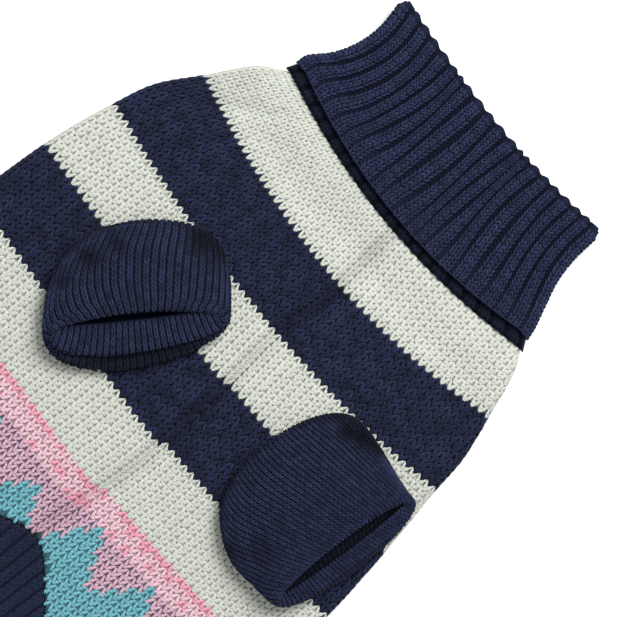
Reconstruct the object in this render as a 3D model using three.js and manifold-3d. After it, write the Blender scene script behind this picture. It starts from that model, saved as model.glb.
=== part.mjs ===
import * as THREE from "three";
import { mergeVertices } from "three/addons/utils/BufferGeometryUtils.js";
import Module from "manifold-3d";

// A knitted dog sweater laid flat with its belly side up: a striped body panel wrapped into a tube and
// joined down the belly, a ribbed turtleneck folded down, two short ribbed sleeves that lie on the belly,
// and a ribbed band round the leg end. Millimetres. X runs across the garment, Y toward the collar, Z up.
// Sizes along Y are counted from the lower corners of the turned-down collar.

// Cloth
const BODY_WALL = 2.0; // stockinette of the body
const COLLAR_WALL = 2.3; // rib of the turtleneck
const SLEEVE_WALL = 1.5; // fine rib of the sleeves
const BAND_WALL = 2.0; // rib of the leg-end band
const SEAM_GAP = 0.3; // clearance between neighbouring pieces
const LAYER_ROOM = 1.2; // air between the belly layer and the back layer at the side folds
const SIDE_RADIUS = BODY_WALL + LAYER_ROOM / 2; // outer radius of the side folds

// Outline of the flat body: how far it reaches left and right of the collar's middle
const OUTLINE = [
  { y: -4, left: 67, right: 68 },
  { y: -10, left: 75, right: 72.5 },
  { y: -18, left: 80.5, right: 76 },
  { y: -29, left: 86.5, right: 80 },
  { y: -45, left: 95.5, right: 85.5 },
  { y: -60, left: 99.5, right: 88 },
  { y: -81, left: 103.5, right: 92 },
  { y: -101, left: 105.5, right: 95.5 },
  { y: -125, left: 106.5, right: 98.5 },
  { y: -160, left: 105.5, right: 99 },
  { y: -205, left: 101, right: 96 },
  { y: -251, left: 93, right: 89 },
  { y: -284, left: 83, right: 80 },
];

// Neck seam, belly hem and tail
const NECK_MIDDLE_Y = -12;
const NECK_SIDE_Y = -4;
const HEM_PEAK_Y = -186; // highest point of the belly hem's arch
const HEM_SIDE_Y = -251; // where the hem crosses the side folds
const HEM_ARCH_ROUND = 8; // radius of the arch's tip
const HEM_ARCH_SLOPE = 0.84;
const TAIL_DEPTH = 37; // how far the back reaches past the side folds
const TAIL_POWER = 2.05;
const SEAM_X = 5.5; // the belly seam lies a little right of the collar's middle
const BAND_LENGTH = 20;
const BAND_GAP = 0.45; // along the hem; about 0.3 square to it at the folds

// Height of the belly above the flat cloth, row by row
const LOFT = [
  { y: -12, rise: 0 },
  { y: -24, rise: 0.9 },
  { y: -45, rise: 2.0 },
  { y: -90, rise: 2.2 },
  { y: -150, rise: 1.8 },
  { y: -190, rise: 1.0 },
  { y: -240, rise: 0.5 },
  { y: -290, rise: 0 },
];
const NECK_LIFT = COLLAR_WALL + SEAM_GAP; // the neck lies on the collar's back layer
const LIFT_END_Y = -30;
const SEAM_DENT = 0.9;
const SEAM_DENT_WIDTH = 6;

// Soft troughs in the belly layer
const CREASES = [
  { x1: -55, y1: -14, x2: -79, y2: -36, width: 4, depth: 0.7 },
  { x1: -79, y1: -36, x2: -94, y2: -64, width: 4, depth: 0.6 },
  { x1: 12, y1: -44, x2: 2, y2: -68, width: 5, depth: 0.7 },
  { x1: 66, y1: -18, x2: 78, y2: -48, width: 6, depth: 0.5 },
];

// Turtleneck: rows from the free edge of the turned-down flap, over the fold, to the neck seam.
// The half widths are to the cloth's middle; bow moves the middle of a row along Y.
const FLAP_Z = 4.15; // middle of the flap's cloth above or below the collar's centre
const NECK_Z = 1.5; // the same for the inner neck
const COLLAR_CENTRE_Z = FLAP_Z + COLLAR_WALL / 2;
const FOLD_STEPS = 3;
const FLAP_ROWS = [
  { y: 0.5, left: 66.5, right: 65.5, bow: -8.5 },
  { y: 5, left: 66, right: 64, bow: -8 },
  { y: 13, left: 60.5, right: 60, bow: -6 },
  { y: 23, left: 57, right: 55.5, bow: -3.5 },
  { y: 34, left: 56.5, right: 53, bow: -3 },
  { y: 44.8, left: 59, right: 52.5, bow: -3.5 },
];
const NECK_ROWS = [
  { y: 44.8, left: 55.5, right: 49, bow: -3.5 },
  { y: 22, left: 53.5, right: 51.5, bow: -4 },
  { y: 6, left: 60, right: 59.3, bow: -7 },
  { y: NECK_SIDE_Y + SEAM_GAP, left: 65.7, right: 66.7, bow: NECK_MIDDLE_Y - NECK_SIDE_Y },
];
const COLLAR_RIBS = 19; // on the front
const COLLAR_RIB_HEIGHT = 1.0;
const RIB_PROFILE = [0, 1, 0.9]; // furrow, then the two wales of a rib
const COLLAR_BACK_STEPS = 14;
const SIDE_STEPS = 4; // facets round a side fold

// Sleeves: each lies flat and leans away from its armhole. Along is counted in the lean's direction
// and across to its left; heights are of the cloth's middle above the belly. A tilted row reaches
// less far forward on the left than on the right.
const SLEEVE_RIBS = 56;
const SLEEVE_RIB_HEIGHT = 0.6;
const SLEEVES = [
  {
    name: "sleeve_left",
    x: -45,
    y: -98,
    lean: -35.2, // degrees from +X
    twist: 0, // turns of the ribs from the armhole to the mouth
    rows: [
      { back: -17, front: 3, backZ: 1.25, frontZ: 1.25, across: 8, half: 24, tilt: 0 },
      { back: -20.5, front: 8, backZ: 4.6, frontZ: 1.7, across: 6, half: 28.5, tilt: 0 },
      { back: -13, front: 21, backZ: 8.4, frontZ: 1.7, across: 3, half: 33, tilt: 1.5 },
      { back: -2, front: 30.5, backZ: 9.4, frontZ: 1.9, across: 1.5, half: 34, tilt: 3.5 },
      { back: 6, front: 31.5, backZ: 9.7, frontZ: 3.4, across: 1.5, half: 33.5, tilt: 3.5 },
      { back: 9.5, front: 29.5, backZ: 9.6, frontZ: 5.2, across: 1.5, half: 33, tilt: 3 },
      { back: 11.5, front: 26, backZ: 9.0, frontZ: 7.0, across: 1.5, half: 32, tilt: 2 },
      { back: 12.5, front: 18.5, backZ: 8.1, frontZ: 7.2, across: 1.5, half: 30, tilt: 1 },
    ],
    dents: [
      { along: -11, across: 27, reach: 6, depth: 3.0 },
      { along: -13, across: -5, reach: 5, depth: 2.0 },
      { along: -8, across: -15, reach: 5.5, depth: 3.0 },
      { along: -1, across: -25, reach: 5, depth: 2.4 },
    ],
  },
  {
    name: "sleeve_right",
    x: 50,
    y: -100,
    lean: -3,
    twist: 0.115,
    rows: [
      { back: -12, front: 8, backZ: 1.25, frontZ: 1.25, across: 3, half: 27, tilt: 0 },
      { back: -15.5, front: 15, backZ: 4.6, frontZ: 1.7, across: 2, half: 31, tilt: 0 },
      { back: -6, front: 28, backZ: 8.2, frontZ: 1.7, across: -0.8, half: 33.6, tilt: 0 },
      { back: 8, front: 36, backZ: 10.0, frontZ: 1.8, across: -0.8, half: 32.4, tilt: 0 },
      { back: 19, front: 39.5, backZ: 10.2, frontZ: 2.6, across: -0.5, half: 31.8, tilt: 0 },
      { back: 27, front: 40, backZ: 9.4, frontZ: 4.4, across: 0.5, half: 31, tilt: 0 },
      { back: 28.5, front: 35, backZ: 8.4, frontZ: 5.4, across: 1, half: 30, tilt: 0 },
    ],
    dents: [
      { along: -2, across: 26.5, reach: 4, depth: 2.2 },
      { along: 4, across: 29.5, reach: 4.5, depth: 3.0 },
      { along: 10, across: 32.5, reach: 4.5, depth: 2.6 },
      { along: 15, across: -24, reach: 5, depth: 1.8 },
      { along: 8, across: -34, reach: 4, depth: 2.0 },
    ],
  },
];
const ARMHOLE_LIP = 1.6; // the armhole's edge lies this far inside the sleeve's base
const ARMHOLE_CUT_HEIGHT = 4 * SIDE_RADIUS; // past the upper layer
const RING_SAMPLES = 360;

// How finely the body is divided
const BODY_ROWS = 20;
const BODY_ROW_CROWDING = 1.3; // rows lie closer at the neck
const BELLY_STEPS = 9; // from the seam to each side
const BACK_STEPS = 14;
const BAND_RIBS_FRONT = 34;
const BAND_RIBS_BACK = 32;
const BAND_ROWS = 3;
const BAND_RIB_HEIGHT = 0.6;
const BAND_RIB_END = 0.97; // share of the half width where the ribs stop, short of the fold

const NAVY = 0x2a2c4c;
const CREAM = 0xdcddd0;

// A smooth curve through a table's rows, read at one value of its first column.
function read(rows, key, column, at) {
  const sign = rows[rows.length - 1][key] > rows[0][key] ? 1 : -1;
  let i = rows.findIndex((row) => sign * (row[key] - at) > 0) - 1;
  if (i === -2) i = rows.length - 2;
  i = Math.max(i, 0);
  const slope = (k) => {
    const a = rows[Math.max(k - 1, 0)];
    const b = rows[Math.min(k + 1, rows.length - 1)];
    return (b[column] - a[column]) / (b[key] - a[key]);
  };
  const span = rows[i + 1][key] - rows[i][key];
  const t = THREE.MathUtils.clamp((at - rows[i][key]) / span, 0, 1);
  const t2 = t * t;
  const t3 = t2 * t;
  return (
    (2 * t3 - 3 * t2 + 1) * rows[i][column] +
    (t3 - 2 * t2 + t) * span * slope(i) +
    (3 * t2 - 2 * t3) * rows[i + 1][column] +
    (t3 - t2) * span * slope(i + 1)
  );
}

// How far the flat body reaches from the collar's middle on the side of q, and the place across of a
// share q of that half width. On the belly the shares are counted from the seam.
const reachAt = (q, sideY) => read(OUTLINE, "y", q < 0 ? "left" : "right", sideY);

function acrossAt(q, sideY, layer) {
  const shift = layer === "belly" ? SEAM_X * (1 - Math.abs(q)) : 0;
  return q * (reachAt(q, sideY) - SIDE_RADIUS) + shift;
}

// Y of the neck seam, of the belly hem and of the tail, at a share q of the half width.
function neckY(q, layer) {
  const share = acrossAt(q, NECK_SIDE_Y, layer) / (reachAt(q, NECK_SIDE_Y) - SIDE_RADIUS);
  return NECK_MIDDLE_Y + (NECK_SIDE_Y - NECK_MIDDLE_Y) * share * share;
}

const tailY = (q) => HEM_SIDE_Y - TAIL_DEPTH * (1 - Math.abs(q) ** TAIL_POWER);

function bellyHemY(q) {
  const half = read(OUTLINE, "y", "left", HEM_SIDE_Y);
  const arch = (x) => Math.hypot(HEM_ARCH_ROUND, HEM_ARCH_SLOPE * x);
  const drop = (arch(q * half) - HEM_ARCH_ROUND) / (arch(half) - HEM_ARCH_ROUND);
  return HEM_PEAK_Y + (HEM_SIDE_Y - HEM_PEAK_Y) * drop;
}

// The body's edge as it is built, straight from one column to the next.
function builtEdge(edge, q, steps) {
  const at = Math.abs(q) * steps;
  const k = Math.min(Math.floor(at), steps - 1);
  return THREE.MathUtils.lerp(edge(k / steps), edge((k + 1) / steps), at - k);
}

// Height of the cloth's underside, which is flat apart from the rise onto the collar.
function undersideZ(y) {
  return NECK_LIFT * THREE.MathUtils.smoothstep(y, LIFT_END_Y, NECK_MIDDLE_Y);
}

// Distance of a point from a stretch between two others, in plan.
function awayFrom(x, y, crease) {
  const dx = crease.x2 - crease.x1;
  const dy = crease.y2 - crease.y1;
  const along = ((x - crease.x1) * dx + (y - crease.y1) * dy) / (dx * dx + dy * dy);
  const t = THREE.MathUtils.clamp(along, 0, 1);
  return Math.hypot(x - crease.x1 - t * dx, y - crease.y1 - t * dy);
}

// Height of the belly's outer face at a place in plan.
function bellyZ(x, y) {
  const q = Math.min(Math.abs(x) / reachAt(x, y), 1);
  const loft = read(LOFT, "y", "rise", y) * (1 - q ** 4);
  const nearSeam = Math.exp(-(((x - SEAM_X) / SEAM_DENT_WIDTH) ** 2));
  const dent = SEAM_DENT * Math.min(loft, 1) * nearSeam;
  const creased = CREASES.reduce(
    (sum, c) => sum + c.depth * Math.exp(-((awayFrom(x, y, c) / c.width) ** 2)),
    0,
  );
  return undersideZ(y) + 2 * SIDE_RADIUS + loft - dent - creased * Math.min(loft, 1);
}

// A place on the body's tube: q is the share of the half width, and depth is how far the face lies
// inside the outer one. The side folds are half circles round the middle between the layers.
function tubePlace(q, y, sideY, depth, layer) {
  const x = acrossAt(q, sideY, layer);
  if (layer === "back") return new THREE.Vector3(x, y, undersideZ(y) + depth);
  return new THREE.Vector3(x, y, bellyZ(x, y) - depth);
}

function foldPlace(side, angle, y, depth) {
  const radius = SIDE_RADIUS - depth;
  return new THREE.Vector3(
    side * (reachAt(side, y) - SIDE_RADIUS + radius * Math.sin(angle)),
    y,
    undersideZ(y) + SIDE_RADIUS + radius * Math.cos(angle),
  );
}

// The columns of a ring, from the belly seam round by the right fold, the back and the left fold.
function ringColumns(bellySteps, backSteps) {
  const columns = [];
  for (let i = 0; i < bellySteps; i += 1) columns.push({ layer: "belly", q: -i / bellySteps });
  for (let i = 0; i <= SIDE_STEPS; i += 1)
    columns.push({ layer: "fold", side: -1, q: -1, angle: (Math.PI * i) / SIDE_STEPS });
  for (let i = 1; i < backSteps; i += 1)
    columns.push({ layer: "back", q: (2 * i) / backSteps - 1 });
  for (let i = SIDE_STEPS; i >= 0; i -= 1)
    columns.push({ layer: "fold", side: 1, q: 1, angle: (Math.PI * i) / SIDE_STEPS });
  for (let i = bellySteps - 1; i >= 0; i -= 1)
    columns.push({ layer: "belly", q: i / bellySteps });
  return columns.reverse();
}

function placeOf(column, y, sideY, depth) {
  if (column.layer === "fold") return foldPlace(column.side, column.angle, sideY, depth);
  return tubePlace(column.q, y, sideY, depth, column.layer);
}

// A closed wall between two grids of points. Grids are lists of rows; the inner one may have fewer
// columns, by a whole number, where the wall is a closed tube.
function wall(outer, inner, closed) {
  const wide = outer[0].length;
  const narrow = inner[0].length;
  const step = wide / narrow;
  const places = [...outer.flat(), ...inner.flat()];
  const out = (r, c) => r * wide + (c % wide);
  const inn = (r, c) => outer.length * wide + r * narrow + (c % narrow);
  const faces = [];
  const quad = (a, b, c, d) => faces.push(a, b, c, a, c, d);
  const outerColumns = closed ? wide : wide - 1;
  const innerColumns = closed ? narrow : narrow - 1;
  for (let r = 0; r + 1 < outer.length; r += 1)
    for (let c = 0; c < outerColumns; c += 1)
      quad(out(r, c), out(r + 1, c), out(r + 1, c + 1), out(r, c + 1));
  for (let r = 0; r + 1 < inner.length; r += 1)
    for (let c = 0; c < innerColumns; c += 1)
      quad(inn(r, c), inn(r, c + 1), inn(r + 1, c + 1), inn(r + 1, c));
  const first = 0;
  const lastOut = outer.length - 1;
  const lastIn = inner.length - 1;
  for (let c = 0; c < innerColumns; c += 1) {
    for (let k = 0; k < step; k += 1) {
      const o = c * step + k;
      faces.push(inn(first, c), out(first, o), out(first, o + 1));
      faces.push(inn(lastIn, c), out(lastOut, o + 1), out(lastOut, o));
    }
    faces.push(inn(first, c), out(first, (c + 1) * step), inn(first, c + 1));
    faces.push(inn(lastIn, c), inn(lastIn, c + 1), out(lastOut, (c + 1) * step));
  }
  if (!closed)
    for (let r = 0; r + 1 < outer.length; r += 1) {
      quad(inn(r, 0), inn(r + 1, 0), out(r + 1, 0), out(r, 0));
      quad(out(r, wide - 1), out(r + 1, wide - 1), inn(r + 1, narrow - 1), inn(r, narrow - 1));
    }
  const geometry = new THREE.BufferGeometry();
  const flat = new Float32Array(places.flatMap((p) => [p.x, p.y, p.z]));
  geometry.setAttribute("position", new THREE.BufferAttribute(flat, 3));
  geometry.setIndex(faces);
  return geometry;
}

// The body panel, with its two long edges apart by the seam's gap.
function bodyGeometry() {
  const columns = ringColumns(BELLY_STEPS, BACK_STEPS);
  const edgeRight = columns[0];
  const edgeLeft = columns[columns.length - 1];
  const grid = (depth) => {
    const rows = [];
    for (let j = 0; j <= BODY_ROWS; j += 1) {
      const v = (j / BODY_ROWS) ** BODY_ROW_CROWDING;
      const sideY = THREE.MathUtils.lerp(NECK_SIDE_Y, HEM_SIDE_Y, v);
      rows.push(
        columns.map((column) => {
          const q = column.q;
          const end = column.layer === "back" ? tailY(q) : bellyHemY(q);
          const y = THREE.MathUtils.lerp(neckY(q, column.layer), end, v);
          const place = placeOf(column, y, sideY, depth);
          if (column === edgeLeft) place.x -= SEAM_GAP / 2;
          if (column === edgeRight) place.x += SEAM_GAP / 2;
          return place;
        }),
      );
    }
    return rows;
  };
  return wall(grid(0), grid(BODY_WALL), false);
}

// The ribbed band round the hem: its ribs stand on the belly's outer face and on the back's inner face.
function bandGeometry() {
  const columns = ringColumns(BAND_RIBS_FRONT, 2 * BAND_RIBS_BACK);
  columns.shift();
  const slopeOf = (edge, q) => {
    const half = read(OUTLINE, "y", "left", HEM_SIDE_Y);
    const small = 0.01;
    return (edge(Math.abs(q) + small) - edge(Math.abs(q) - small)) / (2 * small * half);
  };
  const sideSlope = slopeOf(bellyHemY, 1);
  const grid = (depth, ribLayer, ribSign) => {
    const rows = [];
    for (let j = 0; j <= BAND_ROWS; j += 1) {
      const along = BAND_GAP + (BAND_LENGTH * j) / BAND_ROWS;
      const sideY = HEM_SIDE_Y - along * Math.hypot(1, sideSlope);
      rows.push(
        columns.map((column, i) => {
          const q = column.q;
          const edge = column.layer === "back" ? tailY : bellyHemY;
          const steps = column.layer === "back" ? BACK_STEPS / 2 : BELLY_STEPS;
          const slope = Math.abs(q) === 1 ? sideSlope : slopeOf(edge, q);
          const y = builtEdge(edge, q, steps) - along * Math.hypot(1, slope);
          const raised = column.layer === ribLayer && i % 2 === 0 && Math.abs(q) < BAND_RIB_END;
          const rib = raised ? ribSign * BAND_RIB_HEIGHT : 0;
          return placeOf(column, y, sideY, depth + rib);
        }),
      );
    }
    return rows;
  };
  return wall(grid(0, "belly", -1), grid(BAND_WALL, "back", 1), true);
}

// One ring of the collar: a flat oval whose ends are half circles. Radius is its half height.
function collarRing(row, radius, z, offset, normalY, normalR, ribbed) {
  const ring = [];
  const place = (x, height, q, rib) => {
    const out = offset + (ribbed ? COLLAR_RIB_HEIGHT * rib : 0);
    const y = row.y + row.bow * (1 - q * q) + normalY * out;
    ring.push(new THREE.Vector3(x, y, z + height + Math.sign(height) * normalR * out));
  };
  const plain = radius + normalR * offset;
  const left = row.left - radius;
  const right = row.right - radius;
  const frontSteps = COLLAR_RIBS * RIB_PROFILE.length;
  for (let i = 0; i <= frontSteps; i += 1) {
    const q = 1 - (2 * i) / frontSteps;
    const x = q > 0 ? q * right : q * left;
    place(x, radius, q, RIB_PROFILE[i % RIB_PROFILE.length]);
  }
  const turn = (side, i) => {
    const angle = (Math.PI * i) / SIDE_STEPS;
    const end = side < 0 ? left : right;
    ring.push(
      new THREE.Vector3(
        side * (end + plain * Math.sin(angle)),
        row.y + normalY * offset,
        z + plain * Math.cos(angle),
      ),
    );
  };
  for (let i = 1; i < SIDE_STEPS; i += 1) turn(-1, i);
  for (let i = 0; i <= COLLAR_BACK_STEPS; i += 1) {
    const q = (2 * i) / COLLAR_BACK_STEPS - 1;
    const x = q > 0 ? q * right : q * left;
    const y = row.y + row.bow * (1 - q * q) + normalY * offset;
    ring.push(new THREE.Vector3(x, y, z - plain));
  }
  for (let i = SIDE_STEPS - 1; i > 0; i -= 1) turn(1, i);
  return ring;
}

// The turtleneck: one rib cloth from the flap's edge over the fold and down to the neck seam.
function collarGeometry() {
  const half = COLLAR_WALL / 2;
  const face = (side) => {
    const rows = FLAP_ROWS.map((row) =>
      collarRing(row, FLAP_Z, COLLAR_CENTRE_Z, half, 0, side, side > 0),
    );
    const flapTop = FLAP_ROWS[FLAP_ROWS.length - 1];
    const neckTop = NECK_ROWS[0];
    const foldRadius = (FLAP_Z - NECK_Z) / 2;
    for (let i = 1; i <= FOLD_STEPS; i += 1) {
      const angle = (Math.PI * i) / (FOLD_STEPS + 1);
      const share = (1 - Math.cos(angle)) / 2;
      const row = {
        y: flapTop.y + foldRadius * Math.sin(angle),
        left: THREE.MathUtils.lerp(flapTop.left, neckTop.left, share),
        right: THREE.MathUtils.lerp(flapTop.right, neckTop.right, share),
        bow: flapTop.bow,
      };
      const radius = (FLAP_Z + NECK_Z) / 2 + foldRadius * Math.cos(angle);
      const outY = side * Math.sin(angle);
      const outR = side * Math.cos(angle);
      rows.push(collarRing(row, radius, COLLAR_CENTRE_Z, half, outY, outR, side > 0));
    }
    NECK_ROWS.forEach((row) =>
      rows.push(collarRing(row, NECK_Z, COLLAR_CENTRE_Z, half, 0, -side, false)),
    );
    return rows;
  };
  return wall(face(1), face(-1), true);
}

// A closed curve resampled into equal steps.
function evenRing(points, count) {
  const along = [0];
  for (let i = 1; i <= points.length; i += 1)
    along.push(along[i - 1] + points[i % points.length].distanceTo(points[i - 1]));
  const total = along[points.length];
  const ring = [];
  let k = 0;
  for (let i = 0; i < count; i += 1) {
    const at = (total * i) / count;
    while (along[k + 1] < at) k += 1;
    const t = (at - along[k]) / (along[k + 1] - along[k]);
    ring.push(points[k].clone().lerp(points[(k + 1) % points.length], t));
  }
  return ring;
}

// Plan place of a sleeve's own along and across.
function sleevePlan(sleeve, along, across) {
  const lean = THREE.MathUtils.degToRad(sleeve.lean);
  return {
    x: sleeve.x + along * Math.cos(lean) - across * Math.sin(lean),
    y: sleeve.y + along * Math.sin(lean) + across * Math.cos(lean),
  };
}

// The middle of a sleeve's cloth: rows from the armhole to the mouth, each an even ring. The ring's
// back half becomes the upper layer and its front half the lower one.
function sleeveMiddle(sleeve) {
  return sleeve.rows.map((row, r) => {
    const turned = (sleeve.twist * r) / (sleeve.rows.length - 1);
    const fine = [];
    for (let i = 0; i < RING_SAMPLES; i += 1) {
      const angle = -2 * Math.PI * (i / RING_SAMPLES + turned);
      const over = (1 + Math.sin(angle)) / 2;
      const front = row.front - row.tilt * Math.cos(angle);
      const along = THREE.MathUtils.lerp(front, row.back, over);
      const across = row.across + row.half * Math.cos(angle);
      const dent = sleeve.dents.reduce((sum, d) => {
        const away = Math.hypot(along - d.along, across - d.across) / d.reach;
        return sum + d.depth * Math.exp(-away * away);
      }, 0);
      const plan = sleevePlan(sleeve, along, across);
      const height = THREE.MathUtils.lerp(row.frontZ, row.backZ, over) - dent * over * over;
      const z = bellyZ(plan.x, plan.y) + Math.max(height, row.frontZ);
      fine.push(new THREE.Vector3(plan.x, plan.y, z));
    }
    return evenRing(fine, 2 * SLEEVE_RIBS);
  });
}

// Outward directions of a grid of rings, from their neighbours.
function outwards(rows) {
  return rows.map((ring, r) =>
    ring.map((_, c) => {
      const n = ring.length;
      const along = rows[Math.min(r + 1, rows.length - 1)][c]
        .clone()
        .sub(rows[Math.max(r - 1, 0)][c]);
      const around = ring[(c + 1) % n].clone().sub(ring[(c + n - 1) % n]);
      return along.cross(around).normalize();
    }),
  );
}

function sleeveGeometry(sleeve) {
  const middle = sleeveMiddle(sleeve);
  const normals = outwards(middle);
  const outer = middle.map((ring, r) =>
    ring.map((p, c) => {
      const rib = r > 0 && c % 2 === 0 ? SLEEVE_RIB_HEIGHT : 0;
      return p.clone().addScaledVector(normals[r][c], SLEEVE_WALL / 2 + rib);
    }),
  );
  const inner = middle.map((ring, r) =>
    ring
      .map((p, c) => p.clone().addScaledVector(normals[r][c], -SLEEVE_WALL / 2))
      .filter((_, c) => c % 2 === 0),
  );
  return wall(outer, inner, true);
}

const wasm = await Module();
wasm.setup();

function solidOf(geometry) {
  const bare = geometry.clone();
  bare.deleteAttribute("normal");
  bare.deleteAttribute("uv");
  const merged = mergeVertices(bare, 1e-4);
  return new wasm.Manifold(
    new wasm.Mesh({
      numProp: 3,
      vertProperties: new Float32Array(merged.attributes.position.array),
      triVerts: new Uint32Array(merged.index.array),
    }),
  );
}

function geometryOf(solid) {
  const mesh = solid.getMesh();
  const geometry = new THREE.BufferGeometry();
  geometry.setAttribute("position", new THREE.BufferAttribute(mesh.vertProperties, 3));
  geometry.setIndex(new THREE.BufferAttribute(mesh.triVerts, 1));
  return geometry;
}

// The oval armhole under a sleeve's base, as a cutter that goes through the belly layer alone.
function armholeCutter(sleeve) {
  const base = sleeve.rows[0];
  const middle = (base.back + base.front) / 2;
  const shape = new THREE.Shape();
  shape.absellipse(
    0,
    0,
    (base.front - base.back) / 2 - ARMHOLE_LIP,
    base.half - ARMHOLE_LIP,
    0,
    2 * Math.PI,
  );
  const layersMiddle = BODY_WALL + LAYER_ROOM / 2;
  const geometry = new THREE.ExtrudeGeometry(shape, {
    depth: ARMHOLE_CUT_HEIGHT,
    bevelEnabled: false,
    curveSegments: 14,
  });
  const plan = sleevePlan(sleeve, middle, base.across);
  geometry.rotateZ(THREE.MathUtils.degToRad(sleeve.lean));
  geometry.translate(plan.x, plan.y, layersMiddle);
  return geometry;
}

function piece(name, geometry, colour) {
  const material = new THREE.MeshStandardMaterial({ color: colour, roughness: 0.95, metalness: 0 });
  const mesh = new THREE.Mesh(geometry, material);
  mesh.name = name;
  return mesh;
}

const body = SLEEVES.reduce(
  (solid, sleeve) => solid.subtract(solidOf(armholeCutter(sleeve))),
  solidOf(bodyGeometry()),
);

const sweater = new THREE.Group();
sweater.add(piece("body_panel", geometryOf(body), CREAM));
sweater.add(piece("collar", collarGeometry(), NAVY));
SLEEVES.forEach((sleeve) => sweater.add(piece(sleeve.name, sleeveGeometry(sleeve), NAVY)));
sweater.add(piece("hem_band", bandGeometry(), NAVY));

// The origin is under the middle of the whole garment.
const box = new THREE.Box3().setFromObject(sweater);
const middle = box.getCenter(new THREE.Vector3());
sweater.position.set(-middle.x, -middle.y, -box.min.z);

export default sweater;
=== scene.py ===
"""A knitted dog sweater laid flat with its belly side up, dressed over its solids.

The cloth of each piece is a thin shell on its solid's form, and the stitches on it are short lengths
of yarn worked out as whole arrays. Lengths are millimetres in the garment's own frame, whose origin is
the middle of the turned-down collar's lower corners, until a mesh is made.
"""

import logging
import math
from dataclasses import dataclass, field
from enum import Enum
from typing import Callable, NamedTuple

import bpy
import numpy as np
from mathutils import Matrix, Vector


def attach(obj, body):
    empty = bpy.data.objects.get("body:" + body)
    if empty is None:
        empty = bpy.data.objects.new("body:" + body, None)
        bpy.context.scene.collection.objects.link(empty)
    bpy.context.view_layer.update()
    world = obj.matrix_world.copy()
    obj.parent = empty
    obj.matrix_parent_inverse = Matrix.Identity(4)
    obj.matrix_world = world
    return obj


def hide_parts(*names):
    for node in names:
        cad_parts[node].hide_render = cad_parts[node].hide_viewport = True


logging.basicConfig(level=logging.INFO, format="%(message)s")
log = logging.getLogger("sweater")

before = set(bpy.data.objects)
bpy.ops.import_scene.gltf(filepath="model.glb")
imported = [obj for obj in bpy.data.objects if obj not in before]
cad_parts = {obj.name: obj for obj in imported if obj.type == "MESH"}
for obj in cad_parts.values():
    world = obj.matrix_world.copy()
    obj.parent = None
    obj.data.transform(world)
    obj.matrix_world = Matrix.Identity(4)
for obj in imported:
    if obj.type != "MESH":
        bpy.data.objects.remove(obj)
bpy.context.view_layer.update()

MM = 0.001
NECK_MIDDLE = np.array([3.652, 130.208, 0.0])  # the garment frame's origin in the row frame
TAU = 2 * math.pi

Array = np.ndarray
Surface = Callable[[Array, Array], Array]


def linear(red: int, green: int, blue: int) -> tuple[float, float, float]:
    """A display colour as linear light.

    Args:
        red: Display value from 0 to 255.
        green: Display value from 0 to 255.
        blue: Display value from 0 to 255.

    Returns:
        The three values in linear light.
    """
    share = [c / 255 for c in (red, green, blue)]
    return tuple(c / 12.92 if c <= 0.04045 else ((c + 0.055) / 1.055) ** 2.4 for c in share)


class YarnLook(NamedTuple):
    """A yarn's colour, how dark the cloth behind its stitches is painted as the shade in the holes between
    them, and its legs' girth and height.
    """

    colour: tuple[float, float, float]
    ground: float
    girth: float
    flat: float


class Yarn(Enum):
    """The yarns of the sweater."""

    NAVY = YarnLook(linear(28, 34, 57), 0.25, 1.0, 1.3)
    CREAM = YarnLook(linear(186, 189, 179), 0.98, 1.34, 0.30)
    ROSE = YarnLook(linear(214, 148, 164), 0.62, 1.04, 0.75)
    PINK = YarnLook(linear(211, 175, 185), 0.52, 1.0, 0.75)
    MAUVE = YarnLook(linear(192, 158, 174), 0.20, 0.90, 0.8)
    TEAL = YarnLook(linear(104, 164, 174), 0.34, 0.96, 0.8)


COLOURS = np.array([yarn.value.colour for yarn in Yarn])
# painted shade in the holes between stitches: the share of its yarn's colour that the cloth behind them keeps
GROUND_SHADES = np.array([yarn.value.ground for yarn in Yarn])
GIRTHS = np.array([yarn.value.girth for yarn in Yarn])
FLATS = np.array([yarn.value.flat for yarn in Yarn])
ORDER = {yarn: number for number, yarn in enumerate(Yarn)}
NAVY = COLOURS[ORDER[Yarn.NAVY]]


def smooth(rows: list, column: str, at: Array) -> Array:
    """Reads one column of a table by a smooth curve through its rows.

    The curve is a cubic between two rows whose end slopes are those of the neighbouring rows.

    Args:
        rows: Rows with a falling y and the named column.
        column: Name of the column to read.
        at: Values of y.

    Returns:
        The column's value at each y.
    """
    y = np.array([row.y for row in rows], float)
    value = np.array([getattr(row, column) for row in rows], float)
    if y[0] > y[-1]:
        y, value = y[::-1], value[::-1]
    low, high = np.maximum(np.arange(len(y)) - 1, 0), np.minimum(np.arange(len(y)) + 1, len(y) - 1)
    slope = (value[high] - value[low]) / (y[high] - y[low])
    at = np.asarray(at, float)
    i = np.clip(np.searchsorted(y, at) - 1, 0, len(y) - 2)
    span = y[i + 1] - y[i]
    t = np.clip((at - y[i]) / span, 0, 1)
    t2, t3 = t * t, t * t * t
    return (
        (2 * t3 - 3 * t2 + 1) * value[i]
        + (t3 - 2 * t2 + t) * span * slope[i]
        + (3 * t2 - 2 * t3) * value[i + 1]
        + (t3 - t2) * span * slope[i + 1]
    )


def ease(x: Array, low: float, high: float) -> Array:
    """A soft step from 0 at low to 1 at high."""
    t = np.clip((x - low) / (high - low), 0, 1)
    return t * t * (3 - 2 * t)


def bell(x: Array) -> Array:
    """A soft hill: 1 at zero, and e to the minus square of x away from it."""
    return np.exp(-(x**2))


def unit(v: Array) -> Array:
    """Vectors brought to length one."""
    return v / np.maximum(np.linalg.norm(v, axis=-1, keepdims=True), 1e-12)


def turned(along: Array | float, across: Array | float, degrees: float) -> tuple[Array, Array]:
    """A place in plan, turned about the origin."""
    cos, sin = math.cos(math.radians(degrees)), math.sin(math.radians(degrees))
    return along * cos - across * sin, along * sin + across * cos


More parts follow.
